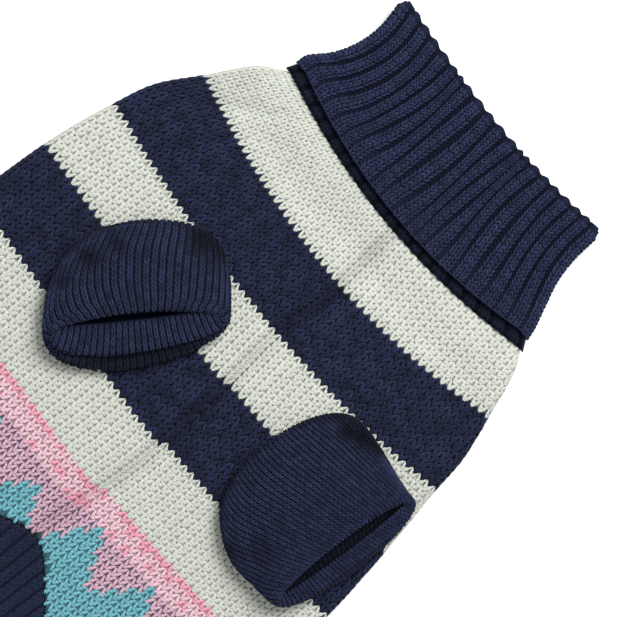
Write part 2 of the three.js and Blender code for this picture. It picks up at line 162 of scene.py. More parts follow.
def counted(*counts: Array) -> list[Array]:
    """Every combination of some counts, as one flat array for each of them."""
    return [axis.ravel() for axis in np.meshgrid(*counts, indexing="ij")]


def make_piece(name: str, points: Array, faces: list[Array], tint: Array, uv: Array) -> bpy.types.Object:
    """Makes a smooth-shaded object from arrays.

    Args:
        name: The piece's name.
        points: Points in the garment frame, in millimetres.
        faces: Arrays of corner numbers, one array for each count of corners.
        tint: A colour for each point.
        uv: A pair of pattern coordinates for each point.

    Returns:
        The object, linked to the scene.
    """
    mesh = bpy.data.meshes.new(name)
    flat = (points.reshape(-1, 3) + NECK_MIDDLE) * MM
    corners = np.concatenate([f.ravel() for f in faces]).astype(np.int32)
    counts = np.concatenate([np.full(len(f), f.shape[1]) for f in faces])
    mesh.vertices.add(len(flat))
    mesh.vertices.foreach_set("co", flat.ravel())
    mesh.loops.add(len(corners))
    mesh.loops.foreach_set("vertex_index", corners)
    mesh.polygons.add(len(counts))
    mesh.polygons.foreach_set("loop_start", np.concatenate([[0], np.cumsum(counts)[:-1]]))
    mesh.update(calc_edges=True)
    mesh.polygons.foreach_set("use_smooth", np.ones(len(counts), bool))
    colours = np.concatenate([tint, np.ones((len(tint), 1))], axis=1)
    layer = mesh.color_attributes.new(name="tint", type="FLOAT_COLOR", domain="POINT")
    layer.data.foreach_set("color", colours.astype(np.float32).ravel())
    layer = mesh.uv_layers.new(name="yarn")
    layer.data.foreach_set("uv", uv[corners].astype(np.float32).ravel())
    mesh.update()
    piece = bpy.data.objects.new(name, mesh)
    bpy.context.scene.collection.objects.link(piece)
    return piece


def grid_faces(rows: int, columns: int, start: int = 0, around: bool = False) -> Array:
    """The four-cornered faces of a grid of points, row by row.

    Args:
        rows: Count of rows of points.
        columns: Count of points in a row.
        start: Number of the grid's first point.
        around: True where the last column meets the first.

    Returns:
        One line of four corners for each face.
    """
    r, c = counted(np.arange(rows - 1), np.arange(columns - (not around)))
    d = (c + 1) % columns
    top, low = start + r * columns, start + (r + 1) * columns
    return np.stack([top + c, low + c, low + d, top + d], 1)


def wall_faces(rows: int, columns: int, around: bool) -> Array:
    """The faces of a closed wall between an outer and an inner grid of the same size.

    Args:
        rows: Count of rows in each grid.
        columns: Count of points in a row.
        around: True where a row is a closed ring.

    Returns:
        Faces of both grids and of the rims between them.
    """
    count = rows * columns
    outer = grid_faces(rows, columns, 0, around)
    inner = grid_faces(rows, columns, count, around)[:, ::-1]
    c = np.arange(columns - (not around))
    d = (c + 1) % columns
    last = (rows - 1) * columns
    rims = [
        np.stack([c, d, d + count, c + count], 1),
        np.stack([last + c, last + c + count, last + d + count, last + d], 1),
    ]
    if not around:
        r = np.arange(rows - 1) * columns
        e = r + columns - 1
        rims.append(np.stack([r, r + count, r + columns + count, r + columns], 1))
        rims.append(np.stack([e, e + columns, e + columns + count, e + count], 1))
    return np.concatenate([outer, inner, *rims])


def holed_wall_faces(gone: Array) -> Array:
    """The faces of an open wall's two grids, with a rim round each hole in them.

    Args:
        gone: For each cell of the grid, true where the wall has a hole.

    Returns:
        Faces of both grids, of the four sides and of the holes' rims.
    """
    rows, columns = gone.shape[0] + 1, gone.shape[1] + 1
    count = rows * columns
    cells = rows - 1, columns - 1
    kept = ~np.concatenate([gone.ravel(), gone.ravel()])
    whole = wall_faces(rows, columns, False)
    layers, sides = whole[: 2 * cells[0] * cells[1]], whole[2 * cells[0] * cells[1] :]
    number = np.arange(count).reshape(rows, columns)
    down = gone[1:].astype(int) - gone[:-1]
    right = gone[:, 1:].astype(int) - gone[:, :-1]
    rims = []
    for change, first, second in (
        (down, number[1:-1, :-1], number[1:-1, 1:]),
        (right, number[1:, 1:-1], number[:-1, 1:-1]),
    ):
        for sign, a, c in ((1, first, second), (-1, second, first)):
            a, c = a[change == sign], c[change == sign]
            rims.append(np.stack([a, a + count, c + count, c], 1)[:, ::-1])
    return np.concatenate([layers[kept], sides, *rims])


def make_wall(
    name: str, outer: Array, inner: Array, faces: Array, tint: Array, uv: Array
) -> bpy.types.Object:
    """Makes a wall from its two grids, with the same pattern coordinates on both.

    Args:
        name: The piece's name.
        outer: The outer grid's points.
        inner: The inner grid's points.
        faces: The wall's faces, from wall_faces or holed_wall_faces.
        tint: One colour, or one for each point of the outer and then of the inner grid.
        uv: A pair of pattern coordinates for each point of one grid.

    Returns:
        The piece.
    """
    points = np.concatenate([outer.reshape(-1, 3), inner.reshape(-1, 3)])
    colours = np.broadcast_to(tint, (2, len(points) // 2, 3)).reshape(-1, 3)
    return make_piece(name, points, [faces], colours, np.concatenate([uv, uv]))


@dataclass(frozen=True)
class LegForm:
    """The form of one leg of a stitch, from its upper end to its lower end.

    Across and along are counted in stitches, from the stitch's middle; lift and the half thicknesses
    are millimetres. The upper ends of the two legs meet, and the lower ends lie apart. Where the wales
    lie closer than pitch_mm, the legs are narrower in the same share.
    """

    top_across: float = 0.01
    top_along: float = 0.74
    foot_across: float = 0.45
    foot_along: float = -0.90
    lift_top: float = 0.20
    lift_foot: float = 0.10
    arch: float = 0.08
    half_width: float = 0.86
    half_height: float = 0.30
    bow: float = 0.06
    pitch_mm: float = 3.72
    narrowest_widest: tuple[float, float] = (0.45, 1.15)
    sides: int = 5


LEG_STEPS = np.array([0.0, 0.2, 0.52, 0.84, 1.0])  # where a leg's two ends and its three rings lie
LEG_GIRTH = np.array([0.0, 0.62, 1.0, 0.70, 0.0])
LEG_RINGS = 3
SLOPE_STEP = 0.05  # the step over which a surface's slope is taken
LOWEST_MM = 0.05  # nothing reaches lower than this above the floor
COURSE_MIDDLE = 0.55  # where a rib stitch's middle lies in its course


def leg_faces(count: int, sides: int) -> list[Array]:
    """The faces of a number of legs, each a point, three rings and a point.

    Args:
        count: Count of legs.
        sides: Points in a ring.

    Returns:
        The triangles round the ends, and the four-cornered faces between the rings.
    """
    per = LEG_RINGS * sides + 2
    c = np.arange(sides)
    d = (c + 1) % sides
    last = 1 + (LEG_RINGS - 1) * sides
    head = np.stack([np.zeros(sides, int), 1 + d, 1 + c], 1)
    tail = np.stack([np.full(sides, per - 1), last + c, last + d], 1)
    between = grid_faces(LEG_RINGS, sides, 1, True)[:, [0, 3, 2, 1]]
    shift = (np.arange(count) * per)[:, None, None]
    return [(np.concatenate([head, tail]) + shift).reshape(-1, 3), (between + shift).reshape(-1, 4)]


@dataclass
class Stitches:
    """Stitch legs laid on a surface: where each one is, its size and its colour."""

    across: Array
    along: Array
    side: Array
    colour: Array
    across_pitch: Array | float = 1.0
    along_pitch: Array | float = 1.0
    girth: Array | float = 1.0
    flat: Array | float = 1.0

    def mesh(self, name: str, place: Surface, form: LegForm) -> bpy.types.Object:
        """Makes the legs as closed, tapered tubes in one piece.

        A leg's middle line runs on the surface from the stitch's tip to its foot, lifted along the
        surface's normal by a half sine. Round it go rings whose half width lies in the surface and
        whose half height stands on it, both narrowing to a point at the ends.

        Args:
            name: The piece's name.
            place: Gives the surface's point for across and along.
            form: The leg's form.

        Returns:
            The piece.
        """
        t = LEG_STEPS[None, :]
        reach = form.top_across + (form.foot_across - form.top_across) * t
        reach = reach + form.bow * np.sin(math.pi * t)
        u = self.across[:, None] + self.side[:, None] * reach * np.reshape(self.across_pitch, (-1, 1))
        drop = form.top_along + (form.foot_along - form.top_along) * t
        v = self.along[:, None] + drop * np.reshape(self.along_pitch, (-1, 1))
        base = place(u, v)
        du = place(u + SLOPE_STEP, v) - base
        dv = place(u, v + SLOPE_STEP) - base
        normal = unit(np.cross(du, dv))
        lift = form.lift_top + (form.lift_foot - form.lift_top) * t + form.arch * np.sin(math.pi * t)
        middle = base + normal * lift[..., None]
        run = unit(np.gradient(middle, axis=1))
        width = unit(np.cross(run, normal))
        height = np.cross(width, run)
        across_pitch = np.linalg.norm(du[:, 2], axis=-1) / SLOPE_STEP * np.reshape(self.across_pitch, -1)
        narrow = np.clip(across_pitch / form.pitch_mm, *form.narrowest_widest)[:, None, None, None]
        girth = (LEG_GIRTH[None, 1:-1] * self._for_each(self.girth)[:, None])[..., None, None]
        low = self._for_each(self.flat)[:, None, None, None]
        angle = TAU * np.arange(form.sides) / form.sides
        ring = middle[:, 1:-1, None] + girth * (
            narrow * form.half_width * np.cos(angle)[None, None, :, None] * width[:, 1:-1, None]
            + low * form.half_height * np.sin(angle)[None, None, :, None] * height[:, 1:-1, None]
        )
        count, sides = len(self.across), form.sides
        ring = ring.reshape(count, LEG_RINGS * sides, 3)
        points = np.concatenate([middle[:, :1], ring, middle[:, -1:]], axis=1)
        points[..., 2] = np.maximum(points[..., 2], LOWEST_MM)
        ply = np.concatenate([[0.0], np.repeat(LEG_STEPS[1:-1], sides), [1.0]])
        turn = np.concatenate([[0.0], np.tile(np.arange(sides) / sides, LEG_RINGS), [0.0]])
        uv = np.tile(np.stack([turn, ply], 1), (count, 1))
        tint = np.repeat(self.colour, LEG_RINGS * sides + 2, axis=0)
        return make_piece(name, points, leg_faces(count, sides), tint, uv)

    def _for_each(self, value: Array | float) -> Array:
        """A value for each leg, from one for each or one for all."""
        return np.broadcast_to(np.asarray(value, float), self.across.shape)

    def kept(self, keep: Array) -> "Stitches":
        """The legs where keep is true.

        Args:
            keep: One value for each leg.

        Returns:
            The legs that stay.
        """
        def part(x: Array | float) -> Array | float:
            """A value's kept part, or the one value for all."""
            return x[keep] if np.ndim(x) else x

        return Stitches(
            self.across[keep], self.along[keep], self.side[keep], self.colour[keep],
            part(self.across_pitch), part(self.along_pitch), part(self.girth), part(self.flat),
        )


def both_legs(
    across: Array, along: Array, colour: Array, across_pitch: float, along_pitch: float,
    girth: Array | float = 1.0, flat: Array | float = 1.0,
) -> Stitches:
    """Two legs for each stitch.

    Args:
        across: Stitch middles across the wales.
        along: Stitch middles along the wales.
        colour: A colour for each stitch.
        across_pitch: Size of a stitch across.
        along_pitch: Size of a stitch along.
        girth: A factor on the legs' thickness.
        flat: A factor on their height alone.

    Returns:
        The legs, left ones first.
    """
    def twice(x: Array | float) -> Array | float:
        """A value for the left legs and again for the right ones, or the one value for all."""
        return np.concatenate([x, x]) if np.ndim(x) else x

    side = np.concatenate([-np.ones(len(across)), np.ones(len(across))])
    return Stitches(
        twice(across), twice(along), side, np.concatenate([colour, colour]),
        across_pitch, along_pitch, twice(girth), twice(flat),
    )


def jitter(count: int, spread: Array | float, seed: int) -> Array:
    """Small even random steps, the same each run."""
    return np.random.default_rng(seed).uniform(-1.0, 1.0, count) * spread


def shaded(colour: Array, spread: Array | float, seed: int) -> Array:
    """Colours made a little lighter or darker, stitch by stitch."""
    return np.clip(colour * (1 + jitter(len(colour), spread, seed))[:, None], 0, 1)


class Socket:
    """A number inside a material, so that node maths reads as plain expressions."""

    def __init__(self, nodes: "Nodes", link: bpy.types.NodeSocket) -> None:
        """Keeps the node tree and the output that carries the number."""
        self.nodes = nodes
        self.link = link

    def _with(self, operation: str, *values: "Socket | float") -> "Socket":
        """The outcome of one step of node maths."""
        return self.nodes.add("ShaderNodeMath", {"operation": operation}, dict(enumerate(values)))

    def __add__(self, other: "Socket | float") -> "Socket":
        """This plus other."""
        return self._with("ADD", self, other)

    def __sub__(self, other: "Socket | float") -> "Socket":
        """This less other."""
        return self._with("SUBTRACT", self, other)

    def __mul__(self, other: "Socket | float") -> "Socket":
        """This times other."""
        return self._with("MULTIPLY", self, other)

    def __rsub__(self, other: float) -> "Socket":
        """Other less this."""
        return self._with("SUBTRACT", other, self)

    __radd__ = __add__
    __rmul__ = __mul__

    def sine(self) -> "Socket":
        """The sine."""
        return self._with("SINE", self)


class Nodes:
    """A material's node tree."""

    def __init__(self, name: str) -> None:
        """Starts a material of that name with its usual shader and output."""
        self.material = bpy.data.materials.new(name)
        self.material.use_nodes = True
        self.tree = self.material.node_tree
        self.shader = self.tree.nodes["Principled BSDF"]

    def add(
        self, kind: str, settings: dict | None = None, values: dict | None = None, output: int | str = 0
    ) -> Socket:
        """Adds one node.

        Args:
            kind: The node's type.
            settings: Its own settings, set before its sockets.
            values: Values or sockets for its inputs, by name or number.
            output: The output wanted.

        Returns:
            That output.
        """
        node = self.tree.nodes.new(kind)
        for key, value in (settings or {}).items():
            setattr(node, key, value)
        for key, value in (values or {}).items():
            self.set(node.inputs[key], value)
        return Socket(self, node.outputs[output])

    def set(self, socket: bpy.types.NodeSocket, value: "Socket | float | tuple") -> None:
        """Links or sets one input.

        Args:
            socket: The input.
            value: What feeds it.
        """
        if isinstance(value, Socket):
            self.tree.links.new(value.link, socket)
        else:
            socket.default_value = value

    def blend(
        self, share: Socket | float, first: Socket | tuple, second: Socket | tuple, mode: str = "MIX"
    ) -> Socket:
        """Mixes two colours.

        Args:
            share: How much of the second one.
            first: A colour.
            second: A colour.
            mode: How they are mixed.

        Returns:
            The mixed colour.
        """
        return self.add(
            "ShaderNodeMix", {"data_type": "RGBA", "blend_type": mode}, {0: share, 6: first, 7: second}, 2
        )

    def tint(self) -> Socket:
        """The piece's own colour at each point."""
        return self.add("ShaderNodeAttribute", {"attribute_name": "tint"}, output="Color")

    def pattern(self) -> list[Socket]:
        """The piece's two pattern coordinates.

        Returns:
            The first and the second coordinate.
        """
        split = self.tree.nodes.new("ShaderNodeSeparateXYZ")
        self.set(split.inputs[0], self.add("ShaderNodeUVMap", {"uv_map": "yarn"}))
        return [Socket(self, output) for output in split.outputs[:2]]

    def noise(self, per_m: float, detail: float = 2.0) -> Socket:
        """Noise on the piece's own coordinates, with so many grains a metre."""
        place = self.add("ShaderNodeTexCoord", output="Object")
        return self.add("ShaderNodeTexNoise", values={"Vector": place, "Scale": per_m, "Detail": detail})

    def toned(self, colour: Socket, light: Socket) -> Socket:
        """A colour times a number."""
        grey = self.add("ShaderNodeCombineColor", values={0: light, 1: light, 2: light})
        return self.blend(1.0, colour, grey, "MULTIPLY")

    def finished(
        self, colour: Socket, height: Socket, strength: float, uniform: dict[str, float | tuple]
    ) -> bpy.types.Material:
        """Joins the surface to its shader.

        Args:
            colour: The base colour.
            height: The relief's height, in metres.
            strength: The relief's strength.
            uniform: Values that are the same all over, by the input's name.

        Returns:
            The material.
        """
        bump = self.add("ShaderNodeBump", values={"Height": height, "Strength": strength, "Distance": 1.0})
        self.set(self.shader.inputs["Base Color"], colour)
        self.set(self.shader.inputs["Normal"], bump)
        for name, value in uniform.items():
            self.shader.inputs[name].default_value = value
        return self.material


@dataclass(frozen=True)
class YarnFinish:
    """Soft matt yarn: the piece's own tint, plies that wind round each leg, and fine fuzz."""

    name: str
    roughness: float = 0.92
    shine: float = 0.08
    sheen: float = 0.05
    sheen_roughness: float = 0.5
    sheen_tint: tuple = (0.8, 0.82, 0.95, 1.0)
    mottle: float = 0.55  # on black yarn; it fades with the yarn's brightness
    mottle_fade: float = 0.85
    mottle_per_m: float = 900.0
    fuzz_per_m: float = 3500.0
    fuzz_depth: float = 0.00022
    fuzz_fade: float = 1.2
    ply_turns: float = 2.0
    ply_depth: float = 0.00012
    bump: float = 0.7

    def material(self) -> bpy.types.Material:
        """Makes the material. The plies are a sine of the turn round a leg and of the run along it.

        Returns:
            The material.
        """
        nodes = Nodes(self.name)
        tint = nodes.tint()
        bright = nodes.add("ShaderNodeRGBToBW", values={0: tint})
        share = bright * -self.mottle_fade + self.mottle
        light = (nodes.noise(self.mottle_per_m, 3.0) - 0.5) * (share * 2.0) + 1.0
        turn, run = nodes.pattern()
        ply = ((turn + run * self.ply_turns) * (2 * TAU)).sine()
        rough = bright * -self.fuzz_fade + 1.0
        height = (ply * self.ply_depth + nodes.noise(self.fuzz_per_m) * self.fuzz_depth) * rough
        return nodes.finished(nodes.toned(tint, light), height, self.bump, {
            "Roughness": self.roughness, "Specular IOR Level": self.shine, "Sheen Weight": self.sheen,
            "Sheen Roughness": self.sheen_roughness, "Sheen Tint": self.sheen_tint,
        })


@dataclass(frozen=True)
class KnitGroundFinish:
    """The cloth under and behind the stitches: its tint, with a small knit of two strokes a stitch."""

    name: str
    roughness: float = 0.95
    shine: float = 0.1
    relief: float = 0.0004
    fuzz_relief: float = 0.4  # against that of the strokes
    fuzz_light: float = 0.3
    fuzz_per_m: float = 2500.0
    # how deep the painted shade across each stroke is
    shade: float = 0.5
    bump: float = 0.8

    def material(self) -> bpy.types.Material:
        """Makes the material. The strokes lean by turns, as two sines of the knit's coordinates.

        Returns:
            The material.
        """
        nodes = Nodes(self.name)
        wale, course = nodes.pattern()
        lean = nodes.add("ShaderNodeMath", {"operation": "ABSOLUTE"}, {0: (wale * TAU).sine()})
        stroke = ((course + lean * 0.5) * TAU).sine()
        fuzz = nodes.noise(self.fuzz_per_m)
        height = (stroke * 0.5 + lean * 0.5 + fuzz * self.fuzz_relief) * self.relief
        # painted shade across each stroke of the knit, besides its bump; the fuzz adds a random tone
        light = stroke * (self.shade / 4) + fuzz * self.fuzz_light + (1.0 - self.shade / 2)
        return nodes.finished(nodes.toned(nodes.tint(), light), height, self.bump, {
            "Roughness": self.roughness, "Specular IOR Level": self.shine,
        })


class OutlineRow(NamedTuple):
    """How far the flat body reaches left and right of the collar's middle at one height."""

    y: float
    left: float
    right: float


class LoftRow(NamedTuple):
    """How far the belly stands above the flat cloth."""

    y: float
    rise: float


class Crease(NamedTuple):
    """A soft trough between two places in plan."""

    x1: float
    y1: float
    x2: float
    y2: float
    width: float
    depth: float


class SeamRow(NamedTuple):
    """Where the belly's seam lies at one height."""

    y: float
    x: float


class Armhole(NamedTuple):
    """An oval opening of the belly: its middle, the turn of its short axis and its two half axes."""

    x: float
    y: float
    lean: float
    along: float
    across: float

    def holds(self, x: Array, y: Array) -> Array:
        """True where a place lies in the opening."""
        along, across = turned(x - self.x, y - self.y, -self.lean)
        return (along / self.along) ** 2 + (across / self.across) ** 2 < 1


class CourseRow(NamedTuple):
    """A course, counted from the neck, and its Y in the middle and at the sides. y holds the course."""

    y: float
    middle: float
    sides: float


@dataclass
class Body:
    """The body panel: a wrapped tube of stockinette, joined down the belly."""

    wall: float = 2.0
    layer_room: float = 1.2
    neck_middle_y: float = -12.0
    neck_side_y: float = -4.0
    hem_peak_y: float = -186.0
    hem_side_y: float = -251.0
    hem_round: float = 8.0
    hem_slope: float = 0.84
    tail_depth: float = 37.0
    tail_power: float = 2.05
    seam_gap: float = 0.3
    neck_lift: float = 2.6
    lift_end_y: float = -30.0
    seam_dent: float = 0.9
    seam_dent_width: float = 6.0
    seam_groove: float = 0.7
    seam_groove_width: float = 1.7
    stitch_depth: float = 0.75
    wale: float = 3.72
    wales_left: float = 29.4
    wales_right: float = 24.3
    widest_y: float = -125.0
    fan_left: float = 1.0  # how much of the body's narrowing the wales follow
    fan_right: float = 0.3
    left_slip: float = 2.2  # how far the left half's courses have slipped down beside the seam
    slip_wales: float = 9.0
    slip_grows_y: tuple[float, float] = (60.0, 140.0)  # below the neck
    outline: list = field(default_factory=lambda: [
        OutlineRow(-4, 67, 68), OutlineRow(-10, 75, 72.5), OutlineRow(-18, 80.5, 76),
        OutlineRow(-29, 86.5, 80), OutlineRow(-45, 95.5, 85.5), OutlineRow(-60, 99.5, 88),
        OutlineRow(-81, 103.5, 92), OutlineRow(-101, 105.5, 95.5), OutlineRow(-125, 106.5, 98.5),
        OutlineRow(-160, 105.5, 99), OutlineRow(-205, 101, 96), OutlineRow(-251, 93, 89),
        OutlineRow(-284, 83, 80),
    ])
    loft: list = field(default_factory=lambda: [
        LoftRow(-12, 0), LoftRow(-24, 0.9), LoftRow(-45, 2.0), LoftRow(-90, 2.2),
        LoftRow(-150, 1.8), LoftRow(-190, 1.0), LoftRow(-240, 0.5), LoftRow(-290, 0),
    ])
    creases: list = field(default_factory=lambda: [
        Crease(-55, -14, -79, -36, 3.2, 1.3), Crease(-79, -36, -94, -64, 3.2, 1.1),
        Crease(12, -44, 2, -68, 4, 1.0), Crease(66, -18, 78, -48, 6, 0.6),
        Crease(-22, -62, -8, -88, 6, 0.5), Crease(40, -66, 60, -74, 7, 0.5),
    ])
    seam: list = field(default_factory=lambda: [
        SeamRow(-13.6, 3.6), SeamRow(-47, 6.4), SeamRow(-69, 4.8), SeamRow(-97, 7.4),
        SeamRow(-142, 9.1), SeamRow(-184, 4.6), SeamRow(-250, 5.5),
    ])
    courses: list = field(default_factory=lambda: [
        CourseRow(-3, -4, 3.5), CourseRow(0, -12, -4), CourseRow(10, -40, -29), CourseRow(21, -69, -61),
        CourseRow(31, -95, -90.5), CourseRow(43, -127, -122), CourseRow(54, -155, -152),
        CourseRow(66, -187, -184), CourseRow(79, -221, -218), CourseRow(92, -256, -253),
        CourseRow(108, -299, -296),
    ])

    @property
    def radius(self) -> float:
        """Outer radius of the side folds."""
        return self.wall + self.layer_room / 2

    def reach(self, side: Array, y: Array) -> Array:
        """How far the body reaches from the collar's middle, on the side that side's sign says."""
        left, right = smooth(self.outline, "left", y), smooth(self.outline, "right", y)
        return np.where(np.asarray(side) < 0, left, right)

    def underside(self, y: Array) -> Array:
        """Height of the cloth's underside: flat apart from the rise onto the collar."""
        return self.neck_lift * ease(np.asarray(y, float), self.lift_end_y, self.neck_middle_y)

    def height(self, x: Array, y: Array) -> Array:
        """Height of the belly's outer face: the flat cloth and its loft, less its hollows.

        The loft falls to the sides with the fourth power of the share of the half width. The seam's
        dent, its groove and the creases are bells of the distance from the seam or from a crease's line.

        Args:
            x: Places across.
            y: Places along.

        Returns:
            The heights.
        """
        q = np.minimum(np.abs(x) / self.reach(x, y), 1)
        loft = smooth(self.loft, "rise", y) * (1 - q**4)
        from_seam = x - self.seam_at(y)
        near = self.seam_dent * bell(from_seam / self.seam_dent_width)
        near = near + self.seam_groove * bell(from_seam / self.seam_groove_width)
        creased = np.zeros_like(loft)
        for c in self.creases:
            dx, dy = c.x2 - c.x1, c.y2 - c.y1
            t = np.clip(((x - c.x1) * dx + (y - c.y1) * dy) / (dx * dx + dy * dy), 0, 1)
            away = np.hypot(x - c.x1 - t * dx, y - c.y1 - t * dy)
            creased = creased + c.depth * bell(away / c.width)
        gate = np.minimum(loft, 1)
        return self.underside(y) + 2 * self.radius + loft - (near + creased) * gate

    def seam_at(self, y: Array) -> Array:
        """X of the belly's seam."""
        return smooth(self.seam, "x", y)

    def across(self, q: Array, side_y: Array, belly: bool) -> Array:
        """Place across of a share q of the half width; on the belly the shares are counted from the seam."""
        shift = self.seam_at(side_y) * (1 - np.abs(q)) if belly else 0.0
        return q * (self.reach(q, side_y) - self.radius) + shift

    def share(self, x: Array, side_y: Array) -> Array:
        """The belly's share q of a place across: the inverse of across.

        Args:
            x: Places across.
            side_y: Y at the side fold of the same row.

        Returns:
            Shares from -1 at the left fold to 1 at the right one.
        """
        seam = self.seam_at(side_y)
        edge = self.reach(x - seam, side_y) - self.radius
        return (x - seam) / np.where(x < seam, edge + seam, edge - seam)

    def neck_y(self, q: Array, belly: bool) -> Array:
        """Y of the neck seam at a share q of the half width: lowest in the middle."""
        share = self.across(q, self.neck_side_y, belly) / (self.reach(q, self.neck_side_y) - self.radius)
        return self.neck_middle_y + (self.neck_side_y - self.neck_middle_y) * share**2

    def tail_y(self, q: Array) -> Array:
        """Y of the back's lower edge."""
        return self.hem_side_y - self.tail_depth * (1 - np.abs(q) ** self.tail_power)

    def belly_hem_y(self, q: Array) -> Array:
        """Y of the belly's lower edge: two slopes joined by a round tip, as a hyperbola.

        Args:
            q: Shares of the half width.

        Returns:
            The edge's Y.
        """
        half = float(self.reach(-1.0, self.hem_side_y))
        far = math.hypot(self.hem_round, self.hem_slope * half)
        drop = (np.hypot(self.hem_round, self.hem_slope * q * half) - self.hem_round) / (far - self.hem_round)
        return self.hem_peak_y + (self.hem_side_y - self.hem_peak_y) * drop

    def course_at(self, q: Array, y: Array) -> Array:
        """The course that passes a place, from the rows of the course table bent by the square of q.

        Args:
            q: Shares of the half width.
            y: Places along.

        Returns:
            Courses from the neck, with their fractions.
        """
        number = np.array([row.y for row in self.courses], float)
        middle = np.array([row.middle for row in self.courses], float)
        sides = np.array([row.sides for row in self.courses], float)
        q, y = np.broadcast_arrays(q, y)
        line = middle + (sides - middle) * (q**2)[..., None]
        k = np.clip((line > y[..., None]).sum(-1) - 1, 0, len(number) - 2)
        top = np.take_along_axis(line, k[..., None], -1)[..., 0]
        low = np.take_along_axis(line, k[..., None] + 1, -1)[..., 0]
        return number[k] + (number[k + 1] - number[k]) * (top - y) / (top - low)

    def slip(self, wale: Array, y: Array) -> Array:
        """How far the left half's courses have slipped down beside the seam."""
        grown = ease(-y, *self.slip_grows_y)
        return self.left_slip * grown * bell(wale / self.slip_wales) * (np.asarray(wale) < 0)

    def place(self, u: Array, v: Array) -> Array:
        """A point of the belly's stitch ground, or of the side fold past it.

        Across is u counted in wales from the seam, drawn in by the body's narrowing: wholly on the left,
        where the wales fan, and little on the right. Past the fold's start the rest of the way goes round
        the fold. Y lies on the course, which bows up to its sides with the square of the share across.

        Args:
            u: Wales from the seam, negative to the left.
            v: Minus the course.

        Returns:
            The points.
        """
        left = u < 0
        widest = self.reach(u, self.widest_y) - self.radius
        count = np.where(left, self.wales_left, self.wales_right)
        follow = np.where(left, self.fan_left, self.fan_right)
        middle, sides = smooth(self.courses, "middle", -v), smooth(self.courses, "sides", -v)
        full = self.reach(u, sides) - self.radius
        y = middle
        for _ in range(3):
            edge = self.reach(u, y) - self.radius
            drawn = 1 - follow * (1 - edge / widest)
            x = u / count * widest * drawn + self.seam_at(y) * np.maximum(1 - np.abs(u) / count, 0)
            y = middle + (sides - middle) * np.clip(x / full, -1, 1) ** 2 - self.slip(u, y)
        edge = self.reach(u, y) - self.radius
        ground = self.radius - self.stitch_depth
        past = np.maximum(np.abs(x) - edge, 0) / ground
        side = np.where(left, -1.0, 1.0)
        x_fold = side * (edge + ground * np.sin(np.minimum(past, math.pi)))
        z_fold = self.underside(y) + self.radius + ground * np.cos(np.minimum(past, math.pi))
        z = np.where(past > 0, z_fold, self.height(x, y) - self.stitch_depth)
        return np.stack([np.where(past > 0, x_fold, x), y, z], -1)


class Chart:
    """The striped pattern: the yarn of each stitch, from its wale and course.

    Below its middle course the pattern runs backward, so that the zigzags close to diamonds.
    """

    STRIPES = (
        (10, Yarn.CREAM), (21, Yarn.NAVY), (31, Yarn.CREAM), (43, Yarn.NAVY), (54, Yarn.CREAM),
        (55, Yarn.ROSE), (58, Yarn.PINK), (200, Yarn.MAUVE),
    )
    MIRROR = 71
    PEAK_TIP = 57.2
    PEAK_REPEAT = 7.66  # wales from one teal peak to the next
    PEAK_SLOPE = 2.1  # courses down for each wale out from a tip
    LEFT_DROP = 1.4  # courses that the left half's peaks hang lower

    def yarn(self, wale: Array, course: Array) -> Array:
        """The yarn of each stitch.

        Args:
            wale: Wales from the seam, negative to the left.
            course: Courses from the neck.

        Returns:
            Numbers in the order of Yarn.
        """
        wale, course = np.broadcast_arrays(wale, course)
        course = np.where(course > self.MIRROR, 2 * self.MIRROR - course, course)
        ends = np.array([end for end, _ in self.STRIPES])
        yarns = np.array([ORDER[yarn] for _, yarn in self.STRIPES])
        out = yarns[np.searchsorted(ends, course, side="right")]
        away = np.abs(np.abs(wale) % self.PEAK_REPEAT - self.PEAK_REPEAT / 2)
        teal = course > self.PEAK_TIP + self.PEAK_SLOPE * away + self.LEFT_DROP * (wale < 0)
        return np.where(teal, ORDER[Yarn.TEAL], out)


